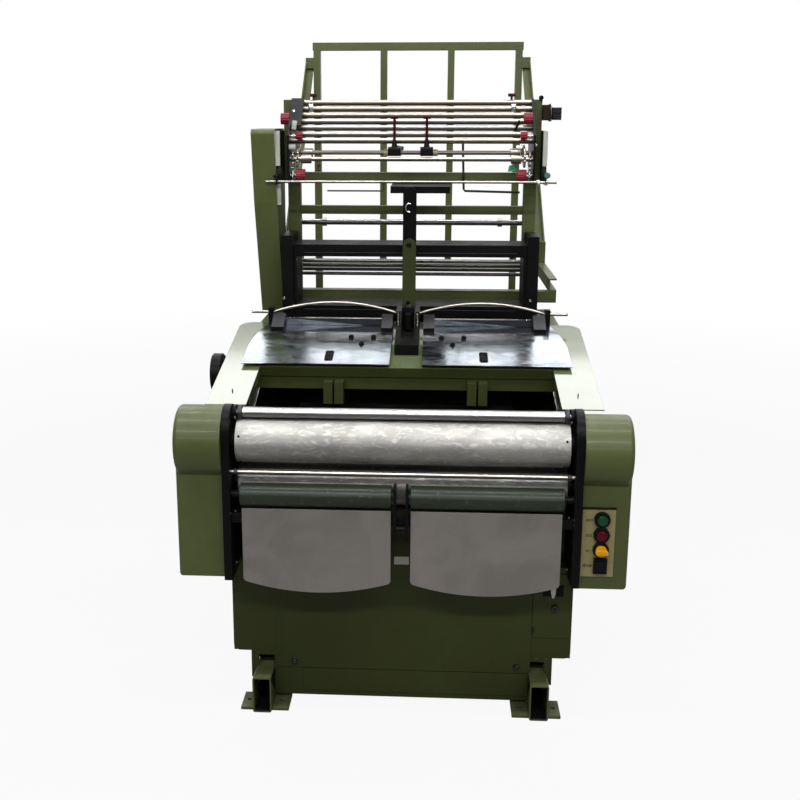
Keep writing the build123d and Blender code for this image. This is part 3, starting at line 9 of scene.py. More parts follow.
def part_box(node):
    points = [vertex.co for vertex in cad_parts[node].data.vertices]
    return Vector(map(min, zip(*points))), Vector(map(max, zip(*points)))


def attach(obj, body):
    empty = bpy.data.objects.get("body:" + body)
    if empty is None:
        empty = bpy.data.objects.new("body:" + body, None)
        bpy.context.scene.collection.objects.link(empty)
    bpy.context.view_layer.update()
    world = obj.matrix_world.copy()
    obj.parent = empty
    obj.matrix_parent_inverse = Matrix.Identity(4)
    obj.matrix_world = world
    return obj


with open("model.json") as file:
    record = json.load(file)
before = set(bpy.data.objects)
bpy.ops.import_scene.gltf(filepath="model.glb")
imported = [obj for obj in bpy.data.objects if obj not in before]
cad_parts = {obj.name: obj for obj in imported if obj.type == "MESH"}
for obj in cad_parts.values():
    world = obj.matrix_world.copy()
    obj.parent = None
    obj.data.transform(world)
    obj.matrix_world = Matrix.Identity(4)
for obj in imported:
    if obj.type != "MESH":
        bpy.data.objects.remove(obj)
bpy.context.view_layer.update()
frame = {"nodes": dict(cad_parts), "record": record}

# Narrow fabric needle loom: finishes, small fasteners and trim around the fixed frame.
# Metres, +X to the right seen from the front, the front faces -Y, +Z up.
# Depths are given as distances behind the drive covers' flat front face.

COVER_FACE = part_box("control_panel")[1].y


def spot(x, depth, z):
    """Point from millimetres across, behind the covers' face and above the floor."""
    return Vector((x / 1000, COVER_FACE + depth / 1000, z / 1000))


# Camera as in the photograph
CAMERA_PLACE = spot(75, -2713, 1534)
CAMERA_PITCH = math.radians(90 - 13.9)
CAMERA_YAW = math.radians(3.5)
FOCAL_PIXELS = 1135
PHOTO_SIZE = 800
PRINCIPAL_X = 365


def make_camera():
    """Camera with the focal length and principal point found from the photograph."""
    data = bpy.data.cameras.new("camera")
    data.sensor_width = 36
    data.lens = data.sensor_width * FOCAL_PIXELS / PHOTO_SIZE
    data.shift_x = (PHOTO_SIZE / 2 - PRINCIPAL_X) / PHOTO_SIZE
    data.clip_end = 100
    camera = bpy.data.objects.new("camera", data)
    camera.location = CAMERA_PLACE
    camera.rotation_euler = (CAMERA_PITCH, 0, CAMERA_YAW)
    bpy.context.scene.collection.objects.link(camera)
    bpy.context.scene.camera = camera


# Stainless aprons: front edge, bend, height and slope, in millimetres
APRON_FRONT = 332
APRON_BEND = 500
APRON_TOP = 880.4
APRON_SLOPE = 0.1976
APRON_LIE = (math.degrees(math.atan(APRON_SLOPE)), 0, 0)
APRON_UP = (0, -APRON_SLOPE, 1)

# Height of the soft wave that tilts the aprons' reflections, in metres
SHEET_BOW = 0.021

# Tones that lie over a finish, and a painted reflection
DUST = (0.42, 0.41, 0.36)
CHALK = (0.16, 0.16, 0.12)
BARE_METAL = (0.16, 0.16, 0.14)
FINGER_MARK = (0.36, 0.31, 0.28)
PAINTED_REFLECTION = (0.92, 0.94, 0.97)


class Shader:
    """The nodes of one material or world, and short ways to add and link them."""

    def __init__(self, owner):
        owner.use_nodes = True
        self.owner = owner
        self.nodes = owner.node_tree.nodes
        self.links = owner.node_tree.links
        self.surface = self.nodes.get("Principled BSDF")
        self.coordinates = self.node("ShaderNodeTexCoord").outputs
        self.place = self.coordinates["Object"]

    def node(self, kind, **settings):
        made = self.nodes.new(kind)
        for key, value in settings.items():
            setattr(made, key, value)
        return made

    def put(self, socket, value):
        if isinstance(value, bpy.types.NodeSocket):
            self.links.new(value, socket)
        else:
            socket.default_value = value

    def noise(self, scale, detail=3.0, stretch=None, roughness=0.55, distortion=0.0):
        """Noise value; stretch multiplies the coordinates along X, Y and Z."""
        made = self.node("ShaderNodeTexNoise")
        made.inputs["Scale"].default_value = scale
        made.inputs["Detail"].default_value = detail
        made.inputs["Roughness"].default_value = roughness
        made.inputs["Distortion"].default_value = distortion
        place = self.place
        if stretch:
            mapping = self.node("ShaderNodeMapping")
            mapping.inputs["Scale"].default_value = stretch
            self.put(mapping.inputs["Vector"], place)
            place = mapping.outputs["Vector"]
        self.put(made.inputs["Vector"], place)
        return made.outputs["Fac"]

    def fit(self, value, low, high, to_low=0.0, to_high=1.0):
        """Value mapped from low..high to to_low..to_high and clamped."""
        made = self.node("ShaderNodeMapRange")
        self.put(made.inputs["Value"], value)
        made.inputs["From Min"].default_value = low
        made.inputs["From Max"].default_value = high
        made.inputs["To Min"].default_value = to_low
        made.inputs["To Max"].default_value = to_high
        return made.outputs["Result"]

    def math(self, kind, a, b=0.0):
        made = self.node("ShaderNodeMath", operation=kind)
        self.put(made.inputs[0], a)
        self.put(made.inputs[1], b)
        return made.outputs["Value"]

    def mix(self, factor, a, b):
        """Colour a where factor is 0 and b where it is 1."""
        made = self.node("ShaderNodeMix", data_type="RGBA")
        self.put(made.inputs["Factor"], factor)
        self.put(made.inputs["A"], tuple(a) + (1.0,) if isinstance(a, tuple) else a)
        self.put(made.inputs["B"], tuple(b) + (1.0,) if isinstance(b, tuple) else b)
        return made.outputs["Result"]

    def split(self, vector):
        """The parts of a vector, by their names X, Y and Z."""
        made = self.node("ShaderNodeSeparateXYZ")
        self.put(made.inputs["Vector"], vector)
        return made.outputs

    def upward(self):
        """1 where the surface faces up, 0 where it stands and -1 where it faces down."""
        return self.split(self.node("ShaderNodeNewGeometry").outputs["Normal"])["Z"]

    def soft_edges(self, radius):
        """Normal that rounds sharp edges off."""
        made = self.node("ShaderNodeBevel", samples=4)
        made.inputs["Radius"].default_value = radius
        return made.outputs["Normal"]

    def edge_mask(self, rounded, low=0.02, high=0.16):
        """1 along sharp edges, 0 on flat faces."""
        flat = self.node("ShaderNodeNewGeometry").outputs["Normal"]
        dot = self.node("ShaderNodeVectorMath", operation="DOT_PRODUCT")
        self.put(dot.inputs[0], rounded)
        self.put(dot.inputs[1], flat)
        return self.fit(self.math("SUBTRACT", 1.0, dot.outputs["Value"]), low, high)

    def bump(self, height, strength, distance, normal=None):
        made = self.node("ShaderNodeBump")
        made.inputs["Strength"].default_value = strength
        made.inputs["Distance"].default_value = distance
        self.put(made.inputs["Height"], height)
        if normal is not None:
            self.put(made.inputs["Normal"], normal)
        return made.outputs["Normal"]

    def finish(self, colour, roughness, metallic=0.0, normal=None, **others):
        self.put(self.surface.inputs["Base Color"], colour)
        self.put(self.surface.inputs["Roughness"], roughness)
        self.surface.inputs["Metallic"].default_value = metallic
        if normal is not None:
            self.put(self.surface.inputs["Normal"], normal)
        for name, value in others.items():
            self.surface.inputs[name.replace("_", " ")].default_value = value
        return self.owner


def scaled(colour, factor):
    return tuple(min(1.0, part * factor) for part in colour)


def painted(name, colour, rough, coat=0.0, shine=0.5, dust=0.10):
    """Enamel on sheet or casting: slow tone changes, dust, scratches and chipped edges."""
    s = Shader(bpy.data.materials.new(name))
    tone = s.mix(s.fit(s.noise(2.3, 2.0), 0.35, 0.65), scaled(colour, 0.86), scaled(colour, 1.13))
    tone = s.mix(s.fit(s.noise(38.0, 4.0), 0.45, 0.75, 0.0, 0.30), tone, scaled(colour, 0.72))
    fallen = s.fit(s.upward(), 0.5, 1.0, 0.0, dust)
    dusty = s.math("MULTIPLY", fallen, s.fit(s.noise(24.0, 5.0), 0.35, 0.7))
    tone = s.mix(dusty, tone, DUST)
    scratch = s.fit(s.noise(55.0, 2.0, stretch=(0.35, 1.0, 6.0)), 0.70, 0.74, 0.0, 0.35)
    tone = s.mix(scratch, tone, scaled(colour, 1.7))
    rounded = s.soft_edges(0.0016)
    chipped = s.math("MULTIPLY", s.edge_mask(rounded), s.fit(s.noise(90.0, 4.0), 0.62, 0.69))
    tone = s.mix(chipped, tone, BARE_METAL)
    gloss = s.fit(s.noise(14.0, 4.0), 0.3, 0.7, rough * 0.82, rough * 1.2)
    peel = s.bump(s.noise(420.0, 2.0), 0.05, 0.0006, rounded)
    normal = s.bump(s.noise(7.0, 1.0), 0.05, 0.012, peel)
    return s.finish(
        tone, gloss, 0.0, normal, Coat_Weight=coat, Coat_Roughness=0.06, Specular_IOR_Level=shine
    )


def steel(name, colour, rough, stretch=(1.0, 1.0, 1.0), grain=260.0, stain=0.25):
    """Bare or plated steel with grinding marks, stains and softened edges."""
    s = Shader(bpy.data.materials.new(name))
    tone = s.mix(s.fit(s.noise(9.0, 4.0), 0.35, 0.68), colour, scaled(colour, 1.0 - stain))
    tone = s.mix(s.fit(s.noise(120.0, 3.0), 0.60, 0.72, 0.0, 0.35), tone, scaled(colour, 0.55))
    lines = s.noise(grain, 2.0, stretch=stretch)
    gloss = s.fit(lines, 0.3, 0.7, rough * 0.75, rough * 1.3)
    normal = s.bump(lines, 0.06, 0.0004, s.soft_edges(0.0010))
    return s.finish(tone, gloss, 1.0, normal)


def plastic(name, colour, rough, coat=0.3, shine=0.3):
    """Moulded plastic with fine grain and finger marks."""
    s = Shader(bpy.data.materials.new(name))
    tone = s.mix(s.fit(s.noise(60.0, 3.0), 0.35, 0.7), scaled(colour, 0.88), scaled(colour, 1.12))
    gloss = s.fit(s.noise(150.0, 4.0), 0.3, 0.7, rough * 0.8, rough * 1.3)
    normal = s.bump(s.noise(900.0, 2.0), 0.08, 0.0002, s.soft_edges(0.0008))
    return s.finish(
        tone, gloss, 0.0, normal, Coat_Weight=coat, Coat_Roughness=0.08, Specular_IOR_Level=shine
    )


def around(s, middle_y, middle_z):
    """Distance along an axis parallel to X, and the angle round it in radians."""
    place = s.split(s.place)
    rise = s.math("SUBTRACT", place["Z"], middle_z)
    run = s.math("SUBTRACT", place["Y"], middle_y)
    return place["X"], s.math("ARCTAN2", rise, run)


def knurled(name, node, colour, pitch=0.0035):
    """Roller ground and knurled in two crossing spirals, worn bright in patches."""
    s = Shader(bpy.data.materials.new(name))
    low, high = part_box(node)
    middle = (low + high) / 2
    radius = (high.z - low.z) / 2
    along, angle = around(s, middle.y, middle.z)
    arc = s.math("MULTIPLY", angle, radius)
    turn = 2 * math.pi / pitch
    spirals = [
        s.math("SINE", s.math("MULTIPLY", s.math(way, along, arc), turn)) for way in ("ADD", "SUBTRACT")
    ]
    knurl = s.math("MULTIPLY", *spirals)
    patch = s.noise(11.0, 5.0, stretch=(0.6, 1.4, 1.4), distortion=0.6)
    smear = s.noise(30.0, 4.0, stretch=(1.0, 2.6, 2.6), distortion=1.4)
    tone = s.mix(s.fit(patch, 0.38, 0.64), scaled(colour, 0.72), colour)
    tone = s.mix(s.fit(smear, 0.52, 0.68, 0.0, 0.7), tone, scaled(colour, 1.45))
    tone = s.mix(s.fit(knurl, -0.1, 0.5, 0.35, 0.0), tone, scaled(colour, 0.4))
    gloss = s.fit(smear, 0.35, 0.7, 0.52, 0.30)
    rough_height = s.math("ADD", s.math("MULTIPLY", knurl, 0.5), s.noise(260.0, 3.0))
    normal = s.bump(rough_height, 0.45, 0.0008)
    return s.finish(tone, gloss, 1.0, normal)


def rubber_roll(name, colour):
    """Ground rubber covering with fine turning marks and dusty streaks."""
    s = Shader(bpy.data.materials.new(name))
    streaks = s.noise(16.0, 3.0, stretch=(0.3, 3.0, 3.0))
    tone = s.mix(s.fit(streaks, 0.35, 0.7), colour, scaled(colour, 1.5))
    tone = s.mix(s.fit(s.noise(70.0, 4.0), 0.62, 0.75, 0.0, 0.4), tone, CHALK)
    normal = s.bump(s.noise(500.0, 2.0, stretch=(1.0, 0.2, 0.2)), 0.12, 0.0003, s.soft_edges(0.0015))
    gloss = s.fit(s.noise(20.0, 3.0), 0.3, 0.7, 0.28, 0.40)
    return s.finish(tone, gloss, 0.0, normal, Specular_IOR_Level=0.28)


def sheet_mirror(name, colour):
    """Polished stainless sheet: cloudy reflections, wipe marks and fine rolling lines, with painted
    bright reflection bands along X and a painted darker reflection behind the bend.
    """
    s = Shader(bpy.data.materials.new(name))
    cloud = s.noise(13.0, 4.0, distortion=0.8)
    tone = s.mix(s.fit(cloud, 0.36, 0.66), scaled(colour, 0.80), colour)
    tone = s.mix(s.fit(s.noise(90.0, 4.0), 0.60, 0.74, 0.0, 0.5), tone, scaled(colour, 0.55))
    # Painted reflection: bright bands along X mixed into the sheet's colour.
    reflection_band = s.noise(9.0, 2.0, stretch=(1.0, 0.12, 0.12), distortion=0.3)
    tone = s.mix(s.fit(reflection_band, 0.42, 0.62, 0.0, 0.35), tone, PAINTED_REFLECTION)
    wipe = s.noise(26.0, 3.0, stretch=(0.5, 1.6, 1.6), distortion=1.2)
    gloss = s.fit(wipe, 0.35, 0.7, 0.10, 0.24)
    back = s.split(s.place)["Y"]
    near, bend = spot(0, APRON_FRONT, 0).y, spot(0, APRON_BEND, 0).y
    # Painted darker reflection on the sheet behind the bend.
    tone = s.mix(s.fit(back, bend, bend + 0.10, 0.0, 0.55), tone, scaled(colour, 0.30))
    bowed = s.bump(s.fit(back, near, bend), 1.0, SHEET_BOW)
    rolled = s.bump(s.noise(150.0, 2.0, stretch=(0.15, 1.0, 1.0)), 0.05, 0.0004, bowed)
    return s.finish(tone, gloss, 1.0, s.bump(cloud, 0.04, 0.004, rolled))


def apron_sheet(name, colour):
    """Matt grey guard sheet with large soft stains, finger marks and faint rolling lines."""
    s = Shader(bpy.data.materials.new(name))
    stain = s.noise(5.5, 4.0, distortion=1.2)
    tone = s.mix(s.fit(stain, 0.40, 0.64), colour, scaled(colour, 0.80))
    touched = s.noise(3.1, 3.0, distortion=0.7)
    tone = s.mix(s.fit(touched, 0.52, 0.66, 0.0, 0.5), tone, FINGER_MARK)
    tone = s.mix(s.fit(s.noise(130.0, 3.0), 0.62, 0.74, 0.0, 0.3), tone, scaled(colour, 0.6))
    lines = s.noise(180.0, 2.0, stretch=(0.15, 1.0, 3.0))
    gloss = s.fit(stain, 0.35, 0.7, 0.40, 0.56)
    wavy = s.bump(s.noise(4.0, 1.0), 0.06, 0.02, s.soft_edges(0.0010))
    return s.finish(tone, gloss, 0.9, s.bump(lines, 0.05, 0.0004, wavy))


def tube_steel(name, colour, shade_and_film_colour, rough):
    """Drawn tube: painted highlight as a bright band on its upper front, painted shade above and below
    the band and darker underneath, brown oil film, specks and lines.
    """
    s = Shader(bpy.data.materials.new(name))
    film = s.noise(5.0, 3.0, stretch=(0.3, 2.0, 2.0))
    up = s.upward()
    tone = s.mix(s.fit(film, 0.35, 0.7, 0.0, 0.25), colour, shade_and_film_colour)
    # Painted light by facing: shade on the very top, the lit colour as a highlight band below it, shade
    # below the band and darker shade underneath.
    tone = s.mix(s.fit(up, 0.74, 0.90, 0.0, 0.75), tone, shade_and_film_colour)
    tone = s.mix(s.fit(up, 0.50, 0.30), tone, shade_and_film_colour)
    tone = s.mix(s.fit(up, 0.0, -0.9), tone, scaled(shade_and_film_colour, 0.55))
    tone = s.mix(s.fit(s.noise(160.0, 3.0), 0.64, 0.72, 0.0, 0.6), tone, scaled(colour, 0.4))
    lines = s.noise(220.0, 2.0, stretch=(0.05, 2.0, 2.0))
    gloss = s.fit(lines, 0.3, 0.7, rough * 0.9, rough * 1.15)
    return s.finish(tone, gloss, 1.0, s.bump(lines, 0.02, 0.00002))


def make_materials():
    """Every finish of the machine by the record's slot name, and more for single faces."""
    return {
        "green_paint": painted("green_paint", (0.062, 0.075, 0.022), 0.38, coat=0.05, shine=0.26),
        # Darker copy of the green paint: painted shade for parts that lie in shade.
        "green_painted_shade": painted(
            "green_painted_shade", (0.030, 0.0365, 0.0105), 0.42, shine=0.12, dust=0.01
        ),
        "table_paint": painted("table_paint", (0.088, 0.112, 0.048), 0.13, coat=1.0, dust=0.02),
        "black_casting": painted(
            "black_casting", (0.0032, 0.0032, 0.0034), 0.36, shine=0.09, dust=0.02
        ),
        "dark_steel": steel("dark_steel", (0.060, 0.060, 0.064), 0.46),
        "knurled_steel": knurled("knurled_steel", "take_off_roller", (0.47, 0.46, 0.43)),
        "lower_steel": knurled("lower_steel", "lower_roller", (0.30, 0.29, 0.27), 0.005),
        # Both tube finishes paint a highlight band and shade by which way the surface faces.
        "polished_steel": tube_steel(
            "polished_steel", (0.60, 0.60, 0.59), (0.20, 0.195, 0.19), 0.28
        ),
        "tube_steel": tube_steel("tube_steel", (0.70, 0.67, 0.62), (0.150, 0.130, 0.105), 0.36),
        "roller_rubber": rubber_roll("roller_rubber", (0.013, 0.019, 0.010)),
        "grey_sheet": apron_sheet("grey_sheet", (0.285, 0.265, 0.245)),
        "stainless_sheet": sheet_mirror("stainless_sheet", (0.66, 0.72, 0.80)),
        "panel_beige": painted("panel_beige", (0.235, 0.202, 0.092), 0.48, shine=0.3, dust=0.02),
        "green_plastic": plastic("green_plastic", (0.003, 0.046, 0.016), 0.34, 0.05, 0.15),
        "red_plastic": plastic("red_plastic", (0.17, 0.006, 0.017), 0.36, 0.06, 0.2),
        "dark_red": plastic("dark_red", (0.060, 0.002, 0.007), 0.36, 0.04, 0.12),
        "maroon_plastic": plastic("maroon_plastic", (0.030, 0.003, 0.006), 0.40, 0.0, 0.1),
        "yellow_plastic": plastic("yellow_plastic", (0.54, 0.25, 0.008), 0.36, 0.05, 0.15),
        "black_plastic": plastic("black_plastic", (0.004, 0.004, 0.0045), 0.34, 0.03, 0.1),
        "bright_steel": steel("bright_steel", (0.70, 0.69, 0.66), 0.20),
        "chain_steel": steel("chain_steel", (0.36, 0.31, 0.27), 0.24, grain=420.0, stain=0.5),
        "light_grey": painted("light_grey", (0.32, 0.33, 0.28), 0.35, coat=0.2, dust=0.02),
        "white_cap": painted("white_cap", (0.62, 0.62, 0.60), 0.30, coat=0.3, dust=0.02),
        "brown_casting": painted(
            "brown_casting", (0.016, 0.010, 0.007), 0.50, shine=0.08, dust=0.02
        ),
        "knob_beige": plastic("knob_beige", (0.30, 0.25, 0.14), 0.40, 0.1),
        "reed_grey": steel("reed_grey", (0.045, 0.046, 0.052), 0.40, (6.0, 1.0, 0.3), 300.0),
        "clear_green": plastic("clear_green", (0.10, 0.42, 0.22), 0.20, 0.6),
        "label_ink": plastic("label_ink", (0.06, 0.055, 0.035), 0.5, 0.0),
        "teal_plastic": plastic("teal_plastic", (0.05, 0.13, 0.11), 0.4, 0.05, 0.2),
    }


MATERIALS = make_materials()

# Where one finish ends and the next begins on a node, in millimetres
CHAIN_ACROSS = (331, 353)
CHAIN_TOP = 1465
BRACKET_REAR = 726
BRACKET_FOOT = 1396
BRACKET_CAP = 1486
LINK_REAR = 678
LINK_TOP = 1190
COLLAR_LEFT = -68.4
COLLAR_RIGHT = 66.4
HOLDER_SCREW_FOOT = 1478
TUBE_SCREW_FOOT = 1588
TUBE_SCREW_REACH = 320
KNOB_AXES = ((785, 1535), (745, 1486), (740, 1372))
SPINDLE_REACH = 5.0
SHOE_ACROSS = (342, 357)
SHOE_TOP = 1400
MOTOR_GEAR_END = 420.5
MOTOR_FLANGE_END = 424.5
MOTOR_CAP_FOOT = 1567
PANEL_FRONT = -4.2
BATTEN_SHEET_REAR = 617
BATTEN_SHEET_TOP = 950
HEAD_BLOCK_FRONT = 569
TABLE_LIP = (300, 350)
TABLE_LIP_REACH = 440
FOOT_ACROSS = 356
FOOT_BORE_HALF = 21.6
FOOT_BORE_HEIGHT = (3.4, 96.6)
FOOT_BORE_DEPTH = (300, 700)
RUBBER_REACH = 405.5
BELT_SIDE = -402.5
BELT_GUARD_REAR = 760


def millimetres(place):
    """Across, behind the covers' face and above the floor, in millimetres."""
    return place.x * 1000, (place.y - COVER_FACE) * 1000, place.z * 1000


def pick_sheets(x, depth, z, normal):
    wheel_zone = CHAIN_ACROSS[0] < abs(x) < CHAIN_ACROSS[1] and z < CHAIN_TOP
    return "chain_steel" if wheel_zone else "black_casting"


def pick_brackets(x, depth, z, normal):
    if depth < BRACKET_REAR and z > BRACKET_FOOT:
        return "white_cap" if z > BRACKET_CAP else "light_grey"
    return "black_casting"


def pick_tie(x, depth, z, normal):
    # The link takes the darker green: painted shade.
    link = depth < LINK_REAR + 0.5 and z < LINK_TOP + 0.5
    return "green_painted_shade" if link else "black_casting"


def pick_holders(x, depth, z, normal):
    if x < COLLAR_LEFT or x > COLLAR_RIGHT:
        return "knob_beige"
    return "maroon_plastic" if z > HOLDER_SCREW_FOOT else "black_casting"


def pick_knobs(x, depth, z, normal):
    if z > TUBE_SCREW_FOOT and abs(x) < TUBE_SCREW_REACH:
        return "maroon_plastic"
    for knob_depth, knob_z in KNOB_AXES:
        near_axis = math.hypot(depth - knob_depth, z - knob_z) < SPINDLE_REACH
        if near_axis and abs(normal.x) < 0.5:
            return "bright_steel"
    shoe = SHOE_ACROSS[0] < abs(x) < SHOE_ACROSS[1] and z < SHOE_TOP
    return "bright_steel" if shoe else "red_plastic"


def pick_motor(x, depth, z, normal):
    if x < MOTOR_GEAR_END:
        return "brown_casting"
    if x < MOTOR_FLANGE_END:
        return "bright_steel"
    return "white_cap" if z > MOTOR_CAP_FOOT and normal.z > 0.3 else "black_casting"


def pick_panel(x, depth, z, normal):
    return "black_plastic" if depth < PANEL_FRONT else "panel_beige"


def pick_batten(x, depth, z, normal):
    if depth < BATTEN_SHEET_REAR and z < BATTEN_SHEET_TOP:
        return "stainless_sheet"
    # Upward faces take bright steel: a painted highlight along the bars' top edge.
    return "bright_steel" if normal.z > 0.5 else "reed_grey"


def pick_head(x, depth, z, normal):
    block_top = normal.z > 0.25 and depth > HEAD_BLOCK_FRONT
    return "dark_steel" if block_top else "black_casting"


def pick_table(x, depth, z, normal):
    # The table's front lip inside the opening takes the darker green: painted shade.
    lip = normal.y < -0.5 and TABLE_LIP[0] < depth < TABLE_LIP[1] and abs(x) < TABLE_LIP_REACH
    return "green_painted_shade" if lip else "table_paint"


def pick_foot(x, depth, z, normal):
    # Faces inside the foot tube's bore take black: painted shade where little light enters.
    between = abs(abs(x) - FOOT_ACROSS) < FOOT_BORE_HALF
    level = FOOT_BORE_HEIGHT[0] < z < FOOT_BORE_HEIGHT[1]
    bore_in_shade = between and level and FOOT_BORE_DEPTH[0] < depth < FOOT_BORE_DEPTH[1]
    return "black_casting" if bore_in_shade else "green_paint"


def pick_rollers(x, depth, z, normal):
    return "black_casting" if abs(x) > RUBBER_REACH else "roller_rubber"


def pick_belt(x, depth, z, normal):
    guard = x > BELT_SIDE and depth < BELT_GUARD_REAR
    return "light_grey" if guard else "green_paint"


# Nodes whose finish isn't their slot's, whole or face by face
WHOLE = {
    "lower_roller": "lower_steel", "feeder_tubes": "tube_steel", "guide_rod": "tube_steel",
    "warp_rods": "polished_steel", "pull_rod": "tube_steel",
    "feed_shaft_lower": "tube_steel", "feed_shaft_upper": "tube_steel",
    # The darker green paints shade on the cavity plate and on the lower body's front panel, door and
    # cross members.
    "stop_button": "dark_red", "cavity_cross_plate": "green_painted_shade",
    "front_panel": "green_painted_shade", "front_door": "green_painted_shade", "base_cross_members": "green_painted_shade",
    "stop_bow_rod": "tube_steel",
}
BY_FACE = {
    "feeder_sheets": pick_sheets, "pull_rod_brackets": pick_brackets, "centre_tie": pick_tie,
    "feeder_holders": pick_holders, "hand_knobs": pick_knobs, "gear_motor": pick_motor,
    "control_panel": pick_panel, "batten_bars": pick_batten, "head_left": pick_head,
    "head_right": pick_head, "belt_cover": pick_belt, "table_top": pick_table,
    "press_rollers": pick_rollers, "foot_left": pick_foot, "foot_right": pick_foot,
}


def dress_nodes():
    """Gives every fixed node its finish, some of them face by face."""
    for part in frame["record"]["subparts"]:
        name = part["node"]
        mesh = frame["nodes"][name].data
        mesh.materials.clear()
        if name not in BY_FACE:
            mesh.materials.append(MATERIALS[WHOLE.get(name, part["material_slot"])])
            continue
        used = []
        for face in mesh.polygons:
            finish = BY_FACE[name](*millimetres(face.center), face.normal)
            if finish not in used:
                used.append(finish)
                mesh.materials.append(MATERIALS[finish])
            face.material_index = used.index(finish)


# Distances between which the floor fades to white, and the hall's levels from below to above
FLOOR_HALF = 30.0
FLOOR_NEAR = 2.2
FLOOR_FAR = 6.0
HALL_LEVELS = ((0.0, 0.03), (0.50, 0.05), (0.54, 0.20), (0.66, 0.16), (0.80, 0.10), (1.0, 0.22))
WHITE = (1.0, 1.0, 1.0)


def make_floor():
    """Pale floor that keeps the shadow and fades to white away from the machine."""
    floor_mesh = bpy.data.meshes.new("floor")
    half = FLOOR_HALF
    corners = [(-half, -half, 0), (half, -half, 0), (half, half, 0), (-half, half, 0)]
    floor_mesh.from_pydata(corners, [], [(0, 1, 2, 3)])
    floor = bpy.data.objects.new("floor", floor_mesh)
    bpy.context.scene.collection.objects.link(floor)
    s = Shader(bpy.data.materials.new("floor_pale"))
    s.finish(s.mix(s.fit(s.noise(0.8, 3.0), 0.3, 0.7), (0.30, 0.30, 0.30), (0.33, 0.33, 0.33)), 0.9)
    s.surface.inputs["Specular IOR Level"].default_value = 0.2
    rays = s.node("ShaderNodeLightPath")
    glow = s.node("ShaderNodeEmission")
    glow.inputs["Color"].default_value = WHITE + (1,)
    glow.inputs["Strength"].default_value = 1.0
    reach = s.node("ShaderNodeVectorMath", operation="LENGTH")
    s.put(reach.inputs[0], s.place)
    white = s.fit(reach.outputs["Value"], FLOOR_NEAR, FLOOR_FAR, 0.92, 1.0)
    blend = s.node("ShaderNodeMixShader")
    s.put(blend.inputs["Fac"], s.math("MULTIPLY", rays.outputs["Is Camera Ray"], white))
    s.links.new(s.surface.outputs["BSDF"], blend.inputs[1])
    s.links.new(glow.outputs["Emission"], blend.inputs[2])
    s.links.new(blend.outputs["Shader"], s.nodes["Material Output"].inputs["Surface"])
    floor_mesh.materials.append(s.owner)


def make_hall():
    """Dim hall for the light, with a white wall that the camera and shiny faces see."""
    world = bpy.data.worlds.new("world")
    bpy.context.scene.world = world
    s = Shader(world)
    toward = s.split(s.coordinates["Generated"])
    hall = s.node("ShaderNodeValToRGB")
    while len(hall.color_ramp.elements) < len(HALL_LEVELS):
        hall.color_ramp.elements.new(0.5)
    for element, (position, level) in zip(hall.color_ramp.elements, HALL_LEVELS):
        element.position = position
        element.color = (level * 0.98, level, level * 1.02, 1)
    s.put(hall.inputs["Fac"], s.fit(toward["Z"], -1.0, 1.0))
    wall = s.math("MULTIPLY", s.fit(toward["Y"], -0.05, 0.30), s.fit(toward["Z"], 0.95, 0.75))
    rays = s.node("ShaderNodeLightPath")
    mirror = s.math("MAXIMUM", rays.outputs["Is Glossy Ray"], rays.outputs["Is Transmission Ray"])
    seen = s.math("MAXIMUM", rays.outputs["Is Camera Ray"], s.math("MULTIPLY", mirror, wall))
    s.put(s.nodes["Background"].inputs["Color"], s.mix(seen, hall.outputs["Color"], WHITE))


def strip_lamp(name, place, aim, length, width, power):
    """Long soft tube light along X."""
    data = bpy.data.lights.new(name, "AREA")
    data.shape = "RECTANGLE"
    data.size = length
    data.size_y = width
    data.energy = power
    lamp = bpy.data.objects.new(name, data)
    lamp.location = place
    lamp.visible_camera = False
    lamp.rotation_euler = (Vector(aim) - Vector(place)).to_track_quat("-Z", "Y").to_euler()
    bpy.context.scene.collection.objects.link(lamp)


def make_lamps():
    """Rows of tube lights as in a hall, along X, and a wide window high up behind."""
    target = (0, -0.6, 0.8)
    strip_lamp("lamp_back", (0, 0.35, 3.6), target, 5.0, 0.12, 60)
    strip_lamp("lamp_top", (0, -1.35, 3.6), target, 5.0, 0.16, 85)
    strip_lamp("lamp_front", (0, -3.9, 3.5), target, 5.0, 0.22, 120)
    strip_lamp("lamp_far", (0, -8.2, 3.5), target, 7.0, 0.30, 100)
    strip_lamp("lamp_window", (0, 5.0, 5.5), target, 9.0, 1.6, 120)


# Small pieces in mesh code
FRONT = (0, -1, 0)
BACK = (0, 1, 0)
UP = (0, 0, 1)
RIGHT = (1, 0, 0)

# Faces that small pieces sit on, in millimetres
PANEL_FACE = 75.4
UPPER_FACE = 141.2
SIDE_PLATE_FACE = 421.2
BODY_SIDE = 450.2
BODY_REAR = 960.2


def square_to(axis):
    """Two directions square to an axis, and the axis itself with length one."""
    axis = Vector(axis).normalized()
    side = axis.cross(Vector(UP))
    if side.length < 0.1:
        side = Vector(RIGHT)
    side.normalize()
    return side, side.cross(axis), axis


